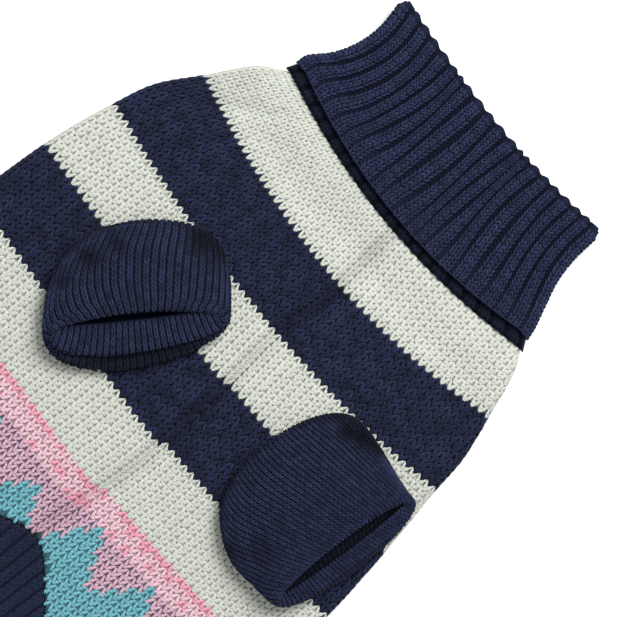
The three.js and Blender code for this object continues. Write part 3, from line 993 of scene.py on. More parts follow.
@dataclass
class BodyDresser:
    """Builds the body's cloth and its stitches."""

    body: Body
    chart: Chart
    armholes: list[Armhole]
    belly_cells: int = 62
    fold_cells: int = 8
    back_cells: int = 44
    rows: int = 116
    closer_rows: float = 1.15  # a power that draws the rows together at the neck
    sink_fade: tuple[float, float] = (1.5, 1.6)  # the stitches' sink fades out with the fold's turn
    under_from: float = 1.8  # the fold's turn past which the cloth faces down
    dark_reach: float = 0.55  # courses that the navy ground reaches under the cream stitches
    plain_ground: float = 0.95  # the ground's light where no stitch lies on it
    inner_ground: float = 0.9
    wales: tuple[int, int] = (32, 29)  # stitched on the left and on the right, round to the side folds
    lowest_course: int = 100
    round_fold: float = 1.6  # how far down the fold the stitches go, in its radii
    hem_room: float = 1.0
    rose_to_pink: float = 0.3  # shares of stitches that take the neighbouring yarn
    pink_to_rose: float = 0.12
    girth_spread: float = 0.05
    place_spread: tuple[float, float] = (0.035, 0.06)
    light_spread: float = 0.04
    navy_light_spread: float = 0.35
    edge_girth: float = 0.72  # of the cream legs beside a navy stripe, which stand out as single prongs
    # painted shadow of the belly seam's crease, stronger on the navy stitches
    seam_shade: float = 0.2
    navy_seam_shade: float = 0.5
    seam_shade_width: float = 2.6

    def open_at(self, x: Array, y: Array) -> Array:
        """True in an armhole."""
        return np.any([hole.holds(x, y) for hole in self.armholes], axis=0)

    def cloth(self) -> bpy.types.Object:
        """The body's shell: a wall whose belly face lies a stitch's depth under the solid's.

        A row runs from the seam over the right half, the right fold, the back, the left fold and the
        left half to the seam again. Kind 0 is the belly, 1 a fold and 2 the back.

        Returns:
            The piece.
        """
        b = self.body
        belly, fold, back, rows = self.belly_cells, self.fold_cells, self.back_cells, self.rows
        q_right = np.linspace(0, 1, belly, endpoint=False)
        turn = np.linspace(0, math.pi, fold + 1)
        q_back = np.linspace(1, -1, back + 1)[1:-1]
        kinds = np.repeat([0, 1, 2, 1, 0], [belly, fold + 1, back - 1, fold + 1, belly])
        q = np.concatenate([q_right, np.ones(fold + 1), q_back, -np.ones(fold + 1), -q_right[::-1]])
        angle = np.concatenate([np.zeros(belly), turn, np.zeros(back - 1), turn[::-1], np.zeros(belly)])
        v = (np.linspace(0, 1, rows) ** self.closer_rows)[:, None]
        side_y = b.neck_side_y + (b.hem_side_y - b.neck_side_y) * v
        is_back = kinds == 2
        neck = np.where(is_back, b.neck_y(q, False), b.neck_y(q, True))
        end = np.where(is_back, b.tail_y(q), b.belly_hem_y(q))
        y = neck + (end - neck) * v
        y = np.where(kinds == 1, side_y, y)
        seam = np.zeros_like(q)
        seam[0], seam[-1] = b.seam_gap / 2, -b.seam_gap / 2

        def layer(depth: float, sink: float) -> Array:
            """One face of the wall.

            Args:
                depth: How far it lies under the solid's face.
                sink: The least depth on the belly.

            Returns:
                The points by row and column.
            """
            x_belly = b.across(q, side_y, True) + seam
            z_belly = b.height(x_belly, y) - np.maximum(depth, sink)
            x_back = b.across(q, side_y, False)
            z_back = b.underside(y) + depth
            sunk = sink * np.clip(self.sink_fade[0] - angle / self.sink_fade[1], 0, 1)
            radius = b.radius - np.maximum(depth, sunk)
            x_fold = np.sign(q) * (b.reach(q, side_y) - b.radius + radius * np.sin(angle))
            z_fold = b.underside(y) + b.radius + radius * np.cos(angle)
            x = np.where(kinds == 0, x_belly, np.where(is_back, x_back, x_fold))
            z = np.where(kinds == 0, z_belly, np.where(is_back, z_back, z_fold))
            return np.stack([x, y + 0 * x, z], -1)

        outer, inner = layer(0.0, b.stitch_depth), layer(b.wall, b.stitch_depth)
        is_left = (q < 0) | (np.arange(len(q)) >= len(q) - belly)
        wales = np.where(is_left, -b.wales_left, b.wales_right)
        hair, unslipped = 0.001, 99  # keeps the first left column left; a wale that no slip reaches
        girth = np.where(is_back, 2 - np.abs(q), np.abs(q)) * wales - hair * is_left
        course = b.course_at(q, y + b.slip(np.where(kinds == 0, girth, unslipped), y))
        yarn = self.chart.yarn(girth + 0 * y, course).ravel()
        for step in (-self.dark_reach, self.dark_reach):
            near = self.chart.yarn(girth + 0 * y, course + step).ravel()
            yarn = np.where((yarn == ORDER[Yarn.CREAM]) & (near == ORDER[Yarn.NAVY]), near, yarn)
        under = np.repeat((is_back | (angle > self.under_from))[None], rows, 0).ravel()
        # painted shade: under the stitches the cloth is darkened by yarn, as the shade in the holes between
        # them; the back and underside, with no stitches, take plain_ground
        dark = np.where(under, self.plain_ground, GROUND_SHADES[yarn])[:, None]
        tint = np.stack([COLOURS[yarn] * dark, COLOURS[yarn] * self.inner_ground])
        uv = np.stack([girth + 0 * y, course], -1).reshape(-1, 2)
        middle = (outer[1:, 1:] + outer[:-1, :-1]) / 2
        gone = self.open_at(middle[..., 0], middle[..., 1]) & (kinds[1:] == 0) & (kinds[:-1] == 0)
        return make_wall("body_cloth", outer, inner, holed_wall_faces(gone), tint, uv)

    def stitches(self, side: int) -> bpy.types.Object:
        """The stitches on one side of the seam, over the belly and round the side fold.

        Args:
            side: -1 for the left half, 1 for the right one.

        Returns:
            The piece.
        """
        b = self.body
        wale, course = counted(np.arange(self.wales[side > 0]), np.arange(self.lowest_course))
        u = side * (wale + 0.5)
        v = -(course + 0.5)
        x, y, z = b.place(u, v).T
        ground = b.radius - b.stitch_depth
        drop = ground - (z - b.underside(y) - b.radius)
        past_half = (np.abs(x) > b.reach(u, y) - b.radius) & (drop > self.round_fold * ground)
        q = np.clip(np.abs(b.share(x, np.full_like(y, b.hem_side_y))), 0, 1)
        keep = (y > b.belly_hem_y(q) + self.hem_room) & ~past_half & ~self.open_at(x, y)

        yarn = self.chart.yarn(u, course)
        chance = jitter(len(u), 0.5, 19 + side) + 0.5
        yarn = np.where((yarn == ORDER[Yarn.ROSE]) & (chance < self.rose_to_pink), ORDER[Yarn.PINK], yarn)
        yarn = np.where((yarn == ORDER[Yarn.PINK]) & (chance > 1 - self.pink_to_rose), ORDER[Yarn.ROSE], yarn)
        is_navy = yarn == ORDER[Yarn.NAVY]
        by_navy = np.any([self.chart.yarn(u, course + step) == ORDER[Yarn.NAVY] for step in (-1, 1)], axis=0)
        girth = GIRTHS[yarn] * (1 + jitter(len(u), self.girth_spread, 2 + side))
        girth = np.where(by_navy & (yarn == ORDER[Yarn.CREAM]), girth * self.edge_girth, girth)
        # painted shadow of the seam's crease: stitches near the seam are darkened, navy ones more
        near_seam = bell((x - b.seam_at(y)) / self.seam_shade_width)
        shade = 1 - np.where(is_navy, self.navy_seam_shade, self.seam_shade) * near_seam
        spread = np.where(is_navy, self.navy_light_spread, self.light_spread)
        colour = shaded(COLOURS[yarn], spread, 11 + side) * shade[:, None]
        u = u + jitter(len(u), self.place_spread[0], 3 + side)
        v = v + jitter(len(v), self.place_spread[1], 6 + side)
        legs = both_legs(u, v, colour, 1.0, 1.0, girth, FLATS[yarn]).kept(np.concatenate([keep, keep]))
        return legs.mesh(f"body_stitches_{'left' if side < 0 else 'right'}", b.place, LegForm())


class FlapRow(NamedTuple):
    """A row of the turtleneck: its Y, half widths to the cloth's middle and the bow of its middle."""

    y: float
    left: float
    right: float
    bow: float


@dataclass
class Collar:
    """The turtleneck: one tube of thick rib from the flap's edge over the fold to the neck seam."""

    wall: float = 2.3
    flap_z: float = 4.15
    neck_z: float = 1.5
    ribs: int = 19
    cap_ribs: float = 2.6
    rib_height: float = 1.5
    edge_flatness: float = 0.25
    course: float = 1.5
    wander: float = 0.13
    rib_power: float = 0.8
    ribs_end: float = 2.2  # the turn round an end at which the ribs have gone
    calm_from: float = 6.0  # how far short of the fold its pull starts
    stitch_depth: float = 0.6
    fold_calm: float = 0.15  # share of the ribs' height that the fold pulls flat
    brighter: float = 1.65  # how much lighter the collar's stitches are than the other navy
    light_spread: float = 0.25
    wale_half: float = 0.17  # a wale's middle from its rib's middle, in ribs
    wale_spread: float = 0.05  # added where the ribs are flat
    wale_size: float = 0.34
    place_spread: tuple[float, float] = (0.02, 0.25)
    girth_spread: float = 0.1
    furrow_light: float = 0.3  # the cloth's light in the furrows, and what crests and ends add
    crest_light: float = 0.5
    under_light: float = 0.2
    inner_light: float = 0.8
    turns_under: tuple[float, float] = (0.3, 0.8)  # shares of an end's turn where the ribs fade out
    neck_face_from: tuple[float, float] = (14.0, 8.0)  # short of the neck seam, where its ribs grow
    columns: int = 378
    rows: int = 48
    edge_grows: float = 15.0  # the ribs' way from the flap's edge to their full height
    face_room: float = 0.2
    neck_ribs: float = 0.5  # the ribs' height on the other face, against the flap's
    neck_shade: float = 0.4  # the neck's strip lies in the flap's shadow
    neck_wales: tuple[float, float] = (0.165, 0.31)
    neck_courses: int = 4
    neck_room: float = 0.8  # between the seam and the neck's first course
    neck_light_spread: float = 0.14
    cord_way: float = 0.35  # from the flap's edge
    cord_lift: float = 0.25
    cord_reach: float = 0.6  # how far round the ends it runs
    cord_tip: float = 0.02
    cord_radius: float = 0.30
    cord_beads: float = 0.09
    beads_per_rib: int = 6
    cord_points: int = 720
    cord_sides: int = 6
    cord_light: float = 1.15
    flap: list = field(default_factory=lambda: [
        FlapRow(0.5, 66.5, 65.5, -8.5), FlapRow(5, 66, 64, -8), FlapRow(13, 60.5, 60, -6),
        FlapRow(23, 57, 55.5, -3.5), FlapRow(34, 56.5, 53, -3), FlapRow(44.8, 59, 52.5, -3.5),
    ])
    neck: list = field(default_factory=lambda: [
        FlapRow(44.8, 55.5, 49, -3.5), FlapRow(22, 53.5, 51.5, -4), FlapRow(6, 63.2, 60.5, -7),
        FlapRow(-3.7, 67.4, 67.8, -8),
    ])

    @property
    def centre_z(self) -> float:
        """Height of the flattened tube's middle."""
        return self.flap_z + self.wall / 2

    @property
    def fold_radius(self) -> float:
        """Radius of the fold at the cloth's middle."""
        return (self.flap_z - self.neck_z) / 2

    @property
    def flap_length(self) -> float:
        """Length of the flap from its edge to the fold's start."""
        return self.flap[-1].y - self.flap[0].y

    def row(self, s: Array, off: Array) -> tuple[Array, ...]:
        """The ring at a length s along the cloth, moved out by off.

        Args:
            s: Length from the flap's edge, over the fold, then down the neck.
            off: Distance out of the cloth's middle.

        Returns:
            Y, left and right half widths, bow, radius and the turn round the fold.
        """
        length, r = self.flap_length, self.fold_radius
        turn = np.clip((s - length) / (math.pi * r), 0, 1) * math.pi
        beyond = np.maximum(s - length - math.pi * r, 0)
        share = (1 - np.cos(turn)) / 2
        y_flap = np.minimum(self.flap[0].y + np.maximum(s, -2), self.flap[-1].y)
        y_neck = self.neck[0].y - beyond
        on_flap = s < length + 1e-9
        y = np.where(on_flap, y_flap, np.where(beyond > 0, y_neck, self.flap[-1].y))
        columns = []
        for column in ("left", "right", "bow"):
            a, c = smooth(self.flap, column, y_flap), smooth(self.neck, column, y_neck)
            columns.append(a + (c - a) * share)
        radius = self.neck_z + r + r * np.cos(turn) + off * np.cos(turn)
        y = y + (r + off) * np.sin(turn)
        return y, columns[0], columns[1], columns[2], radius, turn

    @property
    def centre_back(self) -> float:
        """The rib count at which the middle of the back is reached."""
        return self.ribs + self.cap_ribs

    @property
    def cloth_length(self) -> float:
        """Length of the cloth from the flap's edge to the neck seam."""
        return self.flap_length + math.pi * self.fold_radius + self.neck[0].y - self.neck[-1].y

    def grown(self, v: Array) -> Array:
        """How far the ribs have grown to their full height: they are flatter near the flap's edge."""
        return self.edge_flatness + (1 - self.edge_flatness) * ease(v, 0.0, self.edge_grows)

    def place(self, off: float, ribbed: float = 1.0) -> Surface:
        """A face of the collar. u counts ribs from the middle of the front, v is the length along the cloth.

        Round the flattened tube, the front is flat, the ends are half circles and the back is flat.
        The ribs raise the face by a power of half a cosine, flatter near the flap's edge, and they
        wander a little and vary in width by slow sines.

        Args:
            off: Distance out of the cloth's middle.
            ribbed: How much of the ribs' height is raised, negative on the other face.

        Returns:
            The face as a function.
        """
        half = self.ribs / 2

        def place(u: Array, v: Array) -> Array:
            """The face's points.

            Args:
                u: Ribs from the middle.
                v: The place along, in millimetres.

            Returns:
                The points.
            """
            size = np.abs(u)
            side = np.where(u < 0, -1.0, 1.0)
            angle = np.clip((size - half) / self.cap_ribs, 0, 1) * math.pi
            back = np.maximum(size - half - self.cap_ribs, 0)
            strength = np.clip(self.ribs_end - angle, 0, 1)
            grown = self.grown(v)
            rib = (0.5 + 0.5 * np.cos(TAU * u)) ** self.rib_power
            calmer = 1 - self.fold_calm * ease(v, self.flap_length - self.calm_from, self.flap_length)
            height = ribbed * self.rib_height * rib * strength * grown * calmer
            y, left, right, bow, radius, turn = self.row(v, off + height)
            calm = np.cos(np.clip(u / half, -1, 1) * math.pi / 2)
            drift = np.sin(v / 9 + 1.9 * u) + 1.3 * np.sin(0.9 * u + 1.0) + np.sin(v / 15 - 0.8 * u)
            q = np.clip(np.where(back > 0, side * (1 - back / half), u / half), -1, 1)
            q = q + self.wander / half * drift * calm * (angle == 0)
            end = np.where(u < 0, left, right) - (self.neck_z + self.fold_radius * (1 + np.cos(turn)))
            x = q * end + side * radius * np.sin(angle)
            z = self.centre_z + radius * np.cos(angle)
            return np.stack([x, y + bow * (1 - q * q), z], -1)

        return place

    @property
    def flap_face(self) -> Surface:
        """The face that the flap's stitches lie on."""
        return self.place(self.wall / 2 - self.stitch_depth)

    @property
    def neck_face(self) -> Surface:
        """The cloth's other face, which shows on the neck."""
        return self.place(-self.wall / 2 + self.face_room, -self.neck_ribs)

    def cloth(self) -> bpy.types.Object:
        """The collar's shell, from the flap's edge over the fold to the neck seam.

        Returns:
            The piece.
        """
        u, s = np.meshgrid(
            (np.arange(self.columns) / self.columns * 2 - 1) * self.centre_back,
            np.linspace(0, self.cloth_length, self.rows),
        )
        under = ease(np.abs(u), *(self.ribs / 2 + share * self.cap_ribs for share in self.turns_under))
        sunk = self.flap_face(u, s)
        flat = self.place(self.wall / 2, 0.0)(u, s)
        outer = sunk + (flat - sunk) * under[..., None]
        on_neck = ease(s, *(self.cloth_length - way for way in self.neck_face_from))[..., None]
        inner = self.place(-self.wall / 2, 0.0)(u, s)
        inner = inner + (self.neck_face(u, s) - inner) * on_neck * (1 - under[..., None])
        uv = np.stack([u.ravel() * 2, s.ravel() / self.course], 1)
        crest = 1 - self.grown(s) * (0.5 - 0.5 * np.cos(TAU * u))
        light = (self.furrow_light + self.crest_light * crest + self.under_light * under).reshape(-1, 1)
        faces = wall_faces(self.rows, self.columns, True)[:, ::-1]
        tint = NAVY * np.stack([light, light * self.inner_light])
        return make_wall("collar_cloth", outer, inner, faces, tint, uv)

    def stitches(self) -> bpy.types.Object:
        """Two wales of stitches on each rib of the flap, up to the fold and round the ends.

        Returns:
            The piece.
        """
        most = self.ribs // 2 + 2
        courses = int(self.flap_length / self.course)
        rib, wale, course = counted(np.arange(-most, most + 1), np.array([-1, 1]), np.arange(courses))
        v = (course + COURSE_MIDDLE) * self.course
        u = rib + wale * (self.wale_half + self.wale_spread * (1 - self.grown(v)))
        colour = shaded(np.tile(NAVY * self.brighter, (len(u), 1)), self.light_spread, 23)
        legs = both_legs(
            u + jitter(len(u), self.place_spread[0], 6), v + jitter(len(u), self.place_spread[1], 7),
            colour, self.wale_size, -self.course, 1 + jitter(len(u), self.girth_spread, 9),
        )
        form = LegForm(
            top_along=0.7, foot_along=-0.7, lift_top=0.1, lift_foot=-0.1, arch=0.26, half_width=0.48,
            half_height=0.40, pitch_mm=2.1, sides=4,
        )
        return legs.mesh("collar_stitches", self.flap_face, form)

    def edge_cord(self) -> bpy.types.Object:
        """The cast-on edge: a thin beaded cord along the flap's edge, over the front and round the ends.

        Rings whose radius swells with a fast sine stand across a path on the flap's face.

        Returns:
            The piece.
        """
        count, sides = self.cord_points, self.cord_sides
        end = self.ribs / 2 + self.cord_reach * self.cap_ribs
        u = np.linspace(-end, end, count)
        v = np.full(count, self.cord_way)
        path = self.flap_face(u, v)
        up = unit(np.cross(self.flap_face(u + 0.02, v) - path, self.flap_face(u, v + 0.25) - path))
        out = unit(np.cross(unit(np.gradient(path, axis=0)), up))
        angle = TAU * np.arange(sides) / sides
        radius = self.cord_radius + self.cord_beads * np.sin(TAU * u * self.beads_per_rib)
        radius[[0, -1]] = self.cord_tip
        ring = path[:, None] + self.cord_lift * up[:, None] + radius[:, None, None] * (
            np.cos(angle)[None, :, None] * out[:, None] + np.sin(angle)[None, :, None] * up[:, None]
        )
        caps = [np.arange(sides)[None, ::-1], np.arange(sides)[None] + (count - 1) * sides]
        faces = [grid_faces(count, sides, 0, True), *caps]
        uv = np.stack([np.tile(angle / TAU, count), np.repeat(u * 3, sides)], 1)
        tint = np.tile(NAVY * self.cord_light, (count * sides, 1))
        return make_piece("collar_edge_cord", ring.reshape(-1, 3), faces, tint, uv)

    def neck_stitches(self) -> bpy.types.Object:
        """The same rib on the strip of the neck that shows between the flap and the body.

        Returns:
            The piece.
        """
        most = self.ribs // 2
        rib, wale, course = counted(
            np.arange(-most, most + 1), np.array([-1, 1]), np.arange(self.neck_courses)
        )
        half, size = self.neck_wales
        u = rib + wale * half
        v = -(self.cloth_length - self.neck_room - (course + COURSE_MIDDLE) * self.course)
        colour = shaded(np.tile(NAVY * self.neck_shade, (len(u), 1)), self.neck_light_spread, 24)
        form = LegForm(lift_top=0.0, lift_foot=-0.1, arch=0.2, half_width=0.6, half_height=0.4, pitch_mm=2.1)
        legs = both_legs(u, v, colour, size, self.course)
        return legs.mesh("collar_neck_stitches", lambda a, c: self.neck_face(a, -c), form)


class SleeveRow(NamedTuple):
    """A ring of a sleeve: the reach of its two layers along the lean, their heights, middle and half width.

    A tilted ring reaches less far forward on the side where across grows.
    """

    y: float
    back: float
    front: float
    back_z: float
    front_z: float
    across: float
    half: float
    tilt: float = 0.0


class Dent(NamedTuple):
    """A soft hollow in a sleeve's upper layer."""

    along: float
    across: float
    reach: float
    depth: float


@dataclass
class Sleeve:
    """A short tube of fine rib that leans away from its armhole and lies on the belly."""

    name: str
    body: Body
    x: float
    y: float
    lean: float
    twist: float  # turns of the ribs from the armhole to the mouth
    ribs: int
    rows: list
    dents: list
    wall: float = 1.5
    armhole_lip: float = 1.6
    rib_height: float = 0.5
    rib_points: int = 4  # points of a ring on each rib
    course: float = 1.75
    wale_size: float = 0.64
    place_spread: float = 0.03
    girth_spread: float = 0.08
    light_spread: float = 0.3
    rim: float = 8.5
    stitch_depth: float = 0.25
    rib_left: float = 0.7  # of the ribs' height under the stitches
    inner_room: float = 0.1
    cloth_rows: int = 48
    inner_from: float = 0.55  # share of the length from which the inside is stitched
    crease_shade: float = 0.6
    darkest_dent: float = 3.0  # the depth whose shade is full
    low_shade: float = 0.75
    low_rise: tuple[float, float] = (4.6, 6.6)  # the shade ends between these heights over the belly
    brighter: float = 1.35  # how much lighter the sleeve's stitches are than the other navy
    furrow_shade: float = 0.5
    samples: int = 720

    def armhole(self) -> Armhole:
        """The belly's opening under this sleeve: the first ring less a lip.

        Returns:
            The opening.
        """
        base = self.rows[0]
        x, y = turned((base.back + base.front) / 2, base.across, self.lean)
        half_along = (base.front - base.back) / 2
        return Armhole(
            self.x + x, self.y + y, self.lean, half_along - self.armhole_lip, base.half - self.armhole_lip
        )

    def dented(self, along: Array, across: Array) -> Array:
        """How deep the creases are at a place of the upper layer."""
        return sum(d.depth * bell(np.hypot(along - d.along, across - d.across) / d.reach) for d in self.dents)

    def middle(self, count: int, rings: int) -> Array:
        """The middle of the cloth: rings of even steps from the armhole to the mouth.

        A ring is a flattened oval whose back half is the upper layer and whose front half is the
        lower one, so that along and height slide from one layer to the other with the sine.

        Args:
            count: Points in a ring.
            rings: Count of rings.

        Returns:
            Points by ring and place round it.
        """
        t = np.linspace(0, len(self.rows) - 1, rings)[:, None]
        back, front, back_z, front_z, across, half, tilt = (
            smooth(self.rows, c, t) for c in ("back", "front", "back_z", "front_z", "across", "half", "tilt")
        )
        angle = -TAU * np.arange(self.samples)[None] / self.samples
        over = (1 + np.sin(angle)) / 2
        front = front - tilt * np.cos(angle)
        along = front + (back - front) * over
        wide = across + half * np.cos(angle)
        rise = front_z + (back_z - front_z) * over - self.dented(along, wide) * over**2
        x, y = turned(along, wide, self.lean)
        x, y = self.x + x, self.y + y
        points = np.stack([x, y, self.body.height(x, y) + np.maximum(rise, front_z)], -1)
        closed = np.concatenate([points, points[:, :1]], 1)
        out = np.empty((rings, count, 3))
        for i, ring in enumerate(closed):
            far = np.concatenate([[0], np.cumsum(np.linalg.norm(np.diff(ring, axis=0), axis=1))])
            at = far[-1] * np.arange(count) / count
            out[i] = np.stack([np.interp(at, far, ring[:, k]) for k in range(3)], 1)
        return out

    def surface(self, off: float, crest: float, rings: int = 60) -> tuple[Surface, float]:
        """A face of the sleeve as a function of ribs and millimetres from the armhole.

        Args:
            off: Distance out of the cloth's middle, negative for the inner face.
            crest: How far the ribs stand on it.
            rings: Count of rings worked out.

        Returns:
            The function, and the sleeve's length along its upper layer. Each line from the armhole to
            the mouth is walked at an even pace.
        """
        count = self.ribs * self.rib_points
        grid = self.middle(count, rings)
        step = np.linalg.norm(np.diff(grid, axis=0), axis=2)
        far = np.concatenate([np.zeros((1, count)), np.cumsum(step, axis=0)])
        even = far[-1] * np.linspace(0, 1, rings)[:, None]
        grid = np.stack(
            [[np.interp(even[:, c], far[:, c], grid[:, c, k]) for c in range(count)] for k in range(3)], -1
        ).transpose(1, 0, 2)
        along = np.gradient(grid, axis=0)
        around = np.roll(grid, -1, 1) - np.roll(grid, 1, 1)
        normal = unit(np.cross(along, around))
        top = count * 3 // 4  # the upper layer's middle
        length = float(np.linalg.norm(np.diff(grid[:, top], axis=0), axis=1).sum())

        def place(u: Array, v: Array) -> Array:
            """The face's points, between the four nearest points of the grid.

            Args:
                u: Ribs round the sleeve.
                v: Millimetres from the armhole.

            Returns:
                The points.
            """
            c = (u / self.ribs + self.twist * np.clip(v / length, 0, 1)) % 1.0 * count
            r = np.clip(v / length, 0, 1) * (rings - 1)
            c0, r0 = np.floor(c).astype(int), np.minimum(np.floor(r).astype(int), rings - 2)
            fc, fr = (c - c0)[..., None], (r - r0)[..., None]
            c0 = c0 % count
            c1 = (c0 + 1) % count

            def blend(g: Array) -> Array:
                """The grid's value between its four nearest ones."""
                low = g[r0, c0] * (1 - fc) + g[r0, c1] * fc
                high = g[r0 + 1, c0] * (1 - fc) + g[r0 + 1, c1] * fc
                return low * (1 - fr) + high * fr

            rise = off + crest * (0.5 + 0.5 * np.cos(TAU * u))
            return blend(grid) + unit(blend(normal)) * np.asarray(rise)[..., None]

        return place, length

    def outer_face(self) -> tuple[Surface, float]:
        """The ribbed outer face, a stitch's depth in, and its length."""
        return self.surface(self.wall / 2 - self.stitch_depth, self.rib_height * self.rib_left)

    def inner_face(self) -> tuple[Surface, float]:
        """The inner face and its length."""
        return self.surface(-self.wall / 2 + self.inner_room, 0.0)

    def cloth(self) -> bpy.types.Object:
        """The sleeve's shell, ribbed on its outer face.

        Returns:
            The piece.
        """
        columns, rows = self.ribs * self.rib_points, self.cloth_rows
        outer, length = self.outer_face()
        inner, _ = self.inner_face()
        u, v = np.meshgrid(np.arange(columns) * self.ribs / columns, np.linspace(0, length, rows))
        uv = np.stack([u.ravel() * 2, v.ravel() / self.course], 1)
        faces = wall_faces(rows, columns, True)
        return make_wall(f"{self.name}_cloth", outer(u, v), inner(u, v), faces, NAVY * self.furrow_shade, uv)

    def light_at(self, points: Array, v: Array, length: float) -> Array:
        """How light the yarn looks: darker in the creases and on the lower layer short of the rim.

        Args:
            points: Points of the sleeve.
            v: Their millimetres from the armhole.
            length: The sleeve's length.

        Returns:
            A factor on the yarn's colour.
        """
        x, y, z = points.T
        along, wide = turned(x - self.x, y - self.y, -self.lean)
        crease = self.dented(along, wide) / self.darkest_dent
        rise = z - self.body.height(x, y)
        rim = length - self.rim
        low = (1 - ease(rise, *self.low_rise)) * (1 - ease(v, rim, rim + 2))
        return (1 - self.crease_shade * np.clip(crease, 0, 1)) * (1 - self.low_shade * low)

    def rib_stitches(
        self, name: str, face: tuple[Surface, float], turn: int, first: float, lift_top: float, seed: int
    ) -> bpy.types.Object:
        """One wale of stitches on each rib.

        Args:
            name: The last part of the piece's name.
            face: The face that they lie on, and its length.
            turn: 1, or -1 where the ribs are counted the other way round on the face.
            first: Share of the length where they start.
            lift_top: How far the legs' upper ends stand off the face.
            seed: Seed of their small differences.

        Returns:
            The piece.
        """
        place, length = face
        last = int(length / self.course)
        rib, course = counted(np.arange(self.ribs, dtype=float), np.arange(int(first * last), last))
        v = (course + COURSE_MIDDLE) * self.course
        light = self.light_at(place(turn * rib, v), v, length)[:, None]
        colour = shaded(np.tile(NAVY * self.brighter, (len(rib), 1)), self.light_spread, seed) * light
        legs = both_legs(
            rib + jitter(len(rib), self.place_spread, seed + 1), v, colour, self.wale_size, self.course,
            1 + jitter(len(rib), self.girth_spread, seed + 2),
        )
        form = LegForm(
            lift_top=lift_top, lift_foot=-0.05, arch=0.16, half_width=0.46, half_height=0.32, pitch_mm=1.6,
            sides=4,
        )
        return legs.mesh(f"{self.name}_{name}", lambda a, c: place(turn * a, c), form)

    def stitches(self) -> bpy.types.Object:
        """The rib on the outer face."""
        return self.rib_stitches("stitches", self.outer_face(), -1, 0.0, 0.1, 31)

    def inner_stitches(self) -> bpy.types.Object:
        """The same rib seen from inside, near the mouth."""
        return self.rib_stitches("inner_stitches", self.inner_face(), 1, self.inner_from, 0.05, 37)


class Layer(Enum):
    """The flattened tube's two layers."""

    BELLY = "belly"
    BACK = "back"


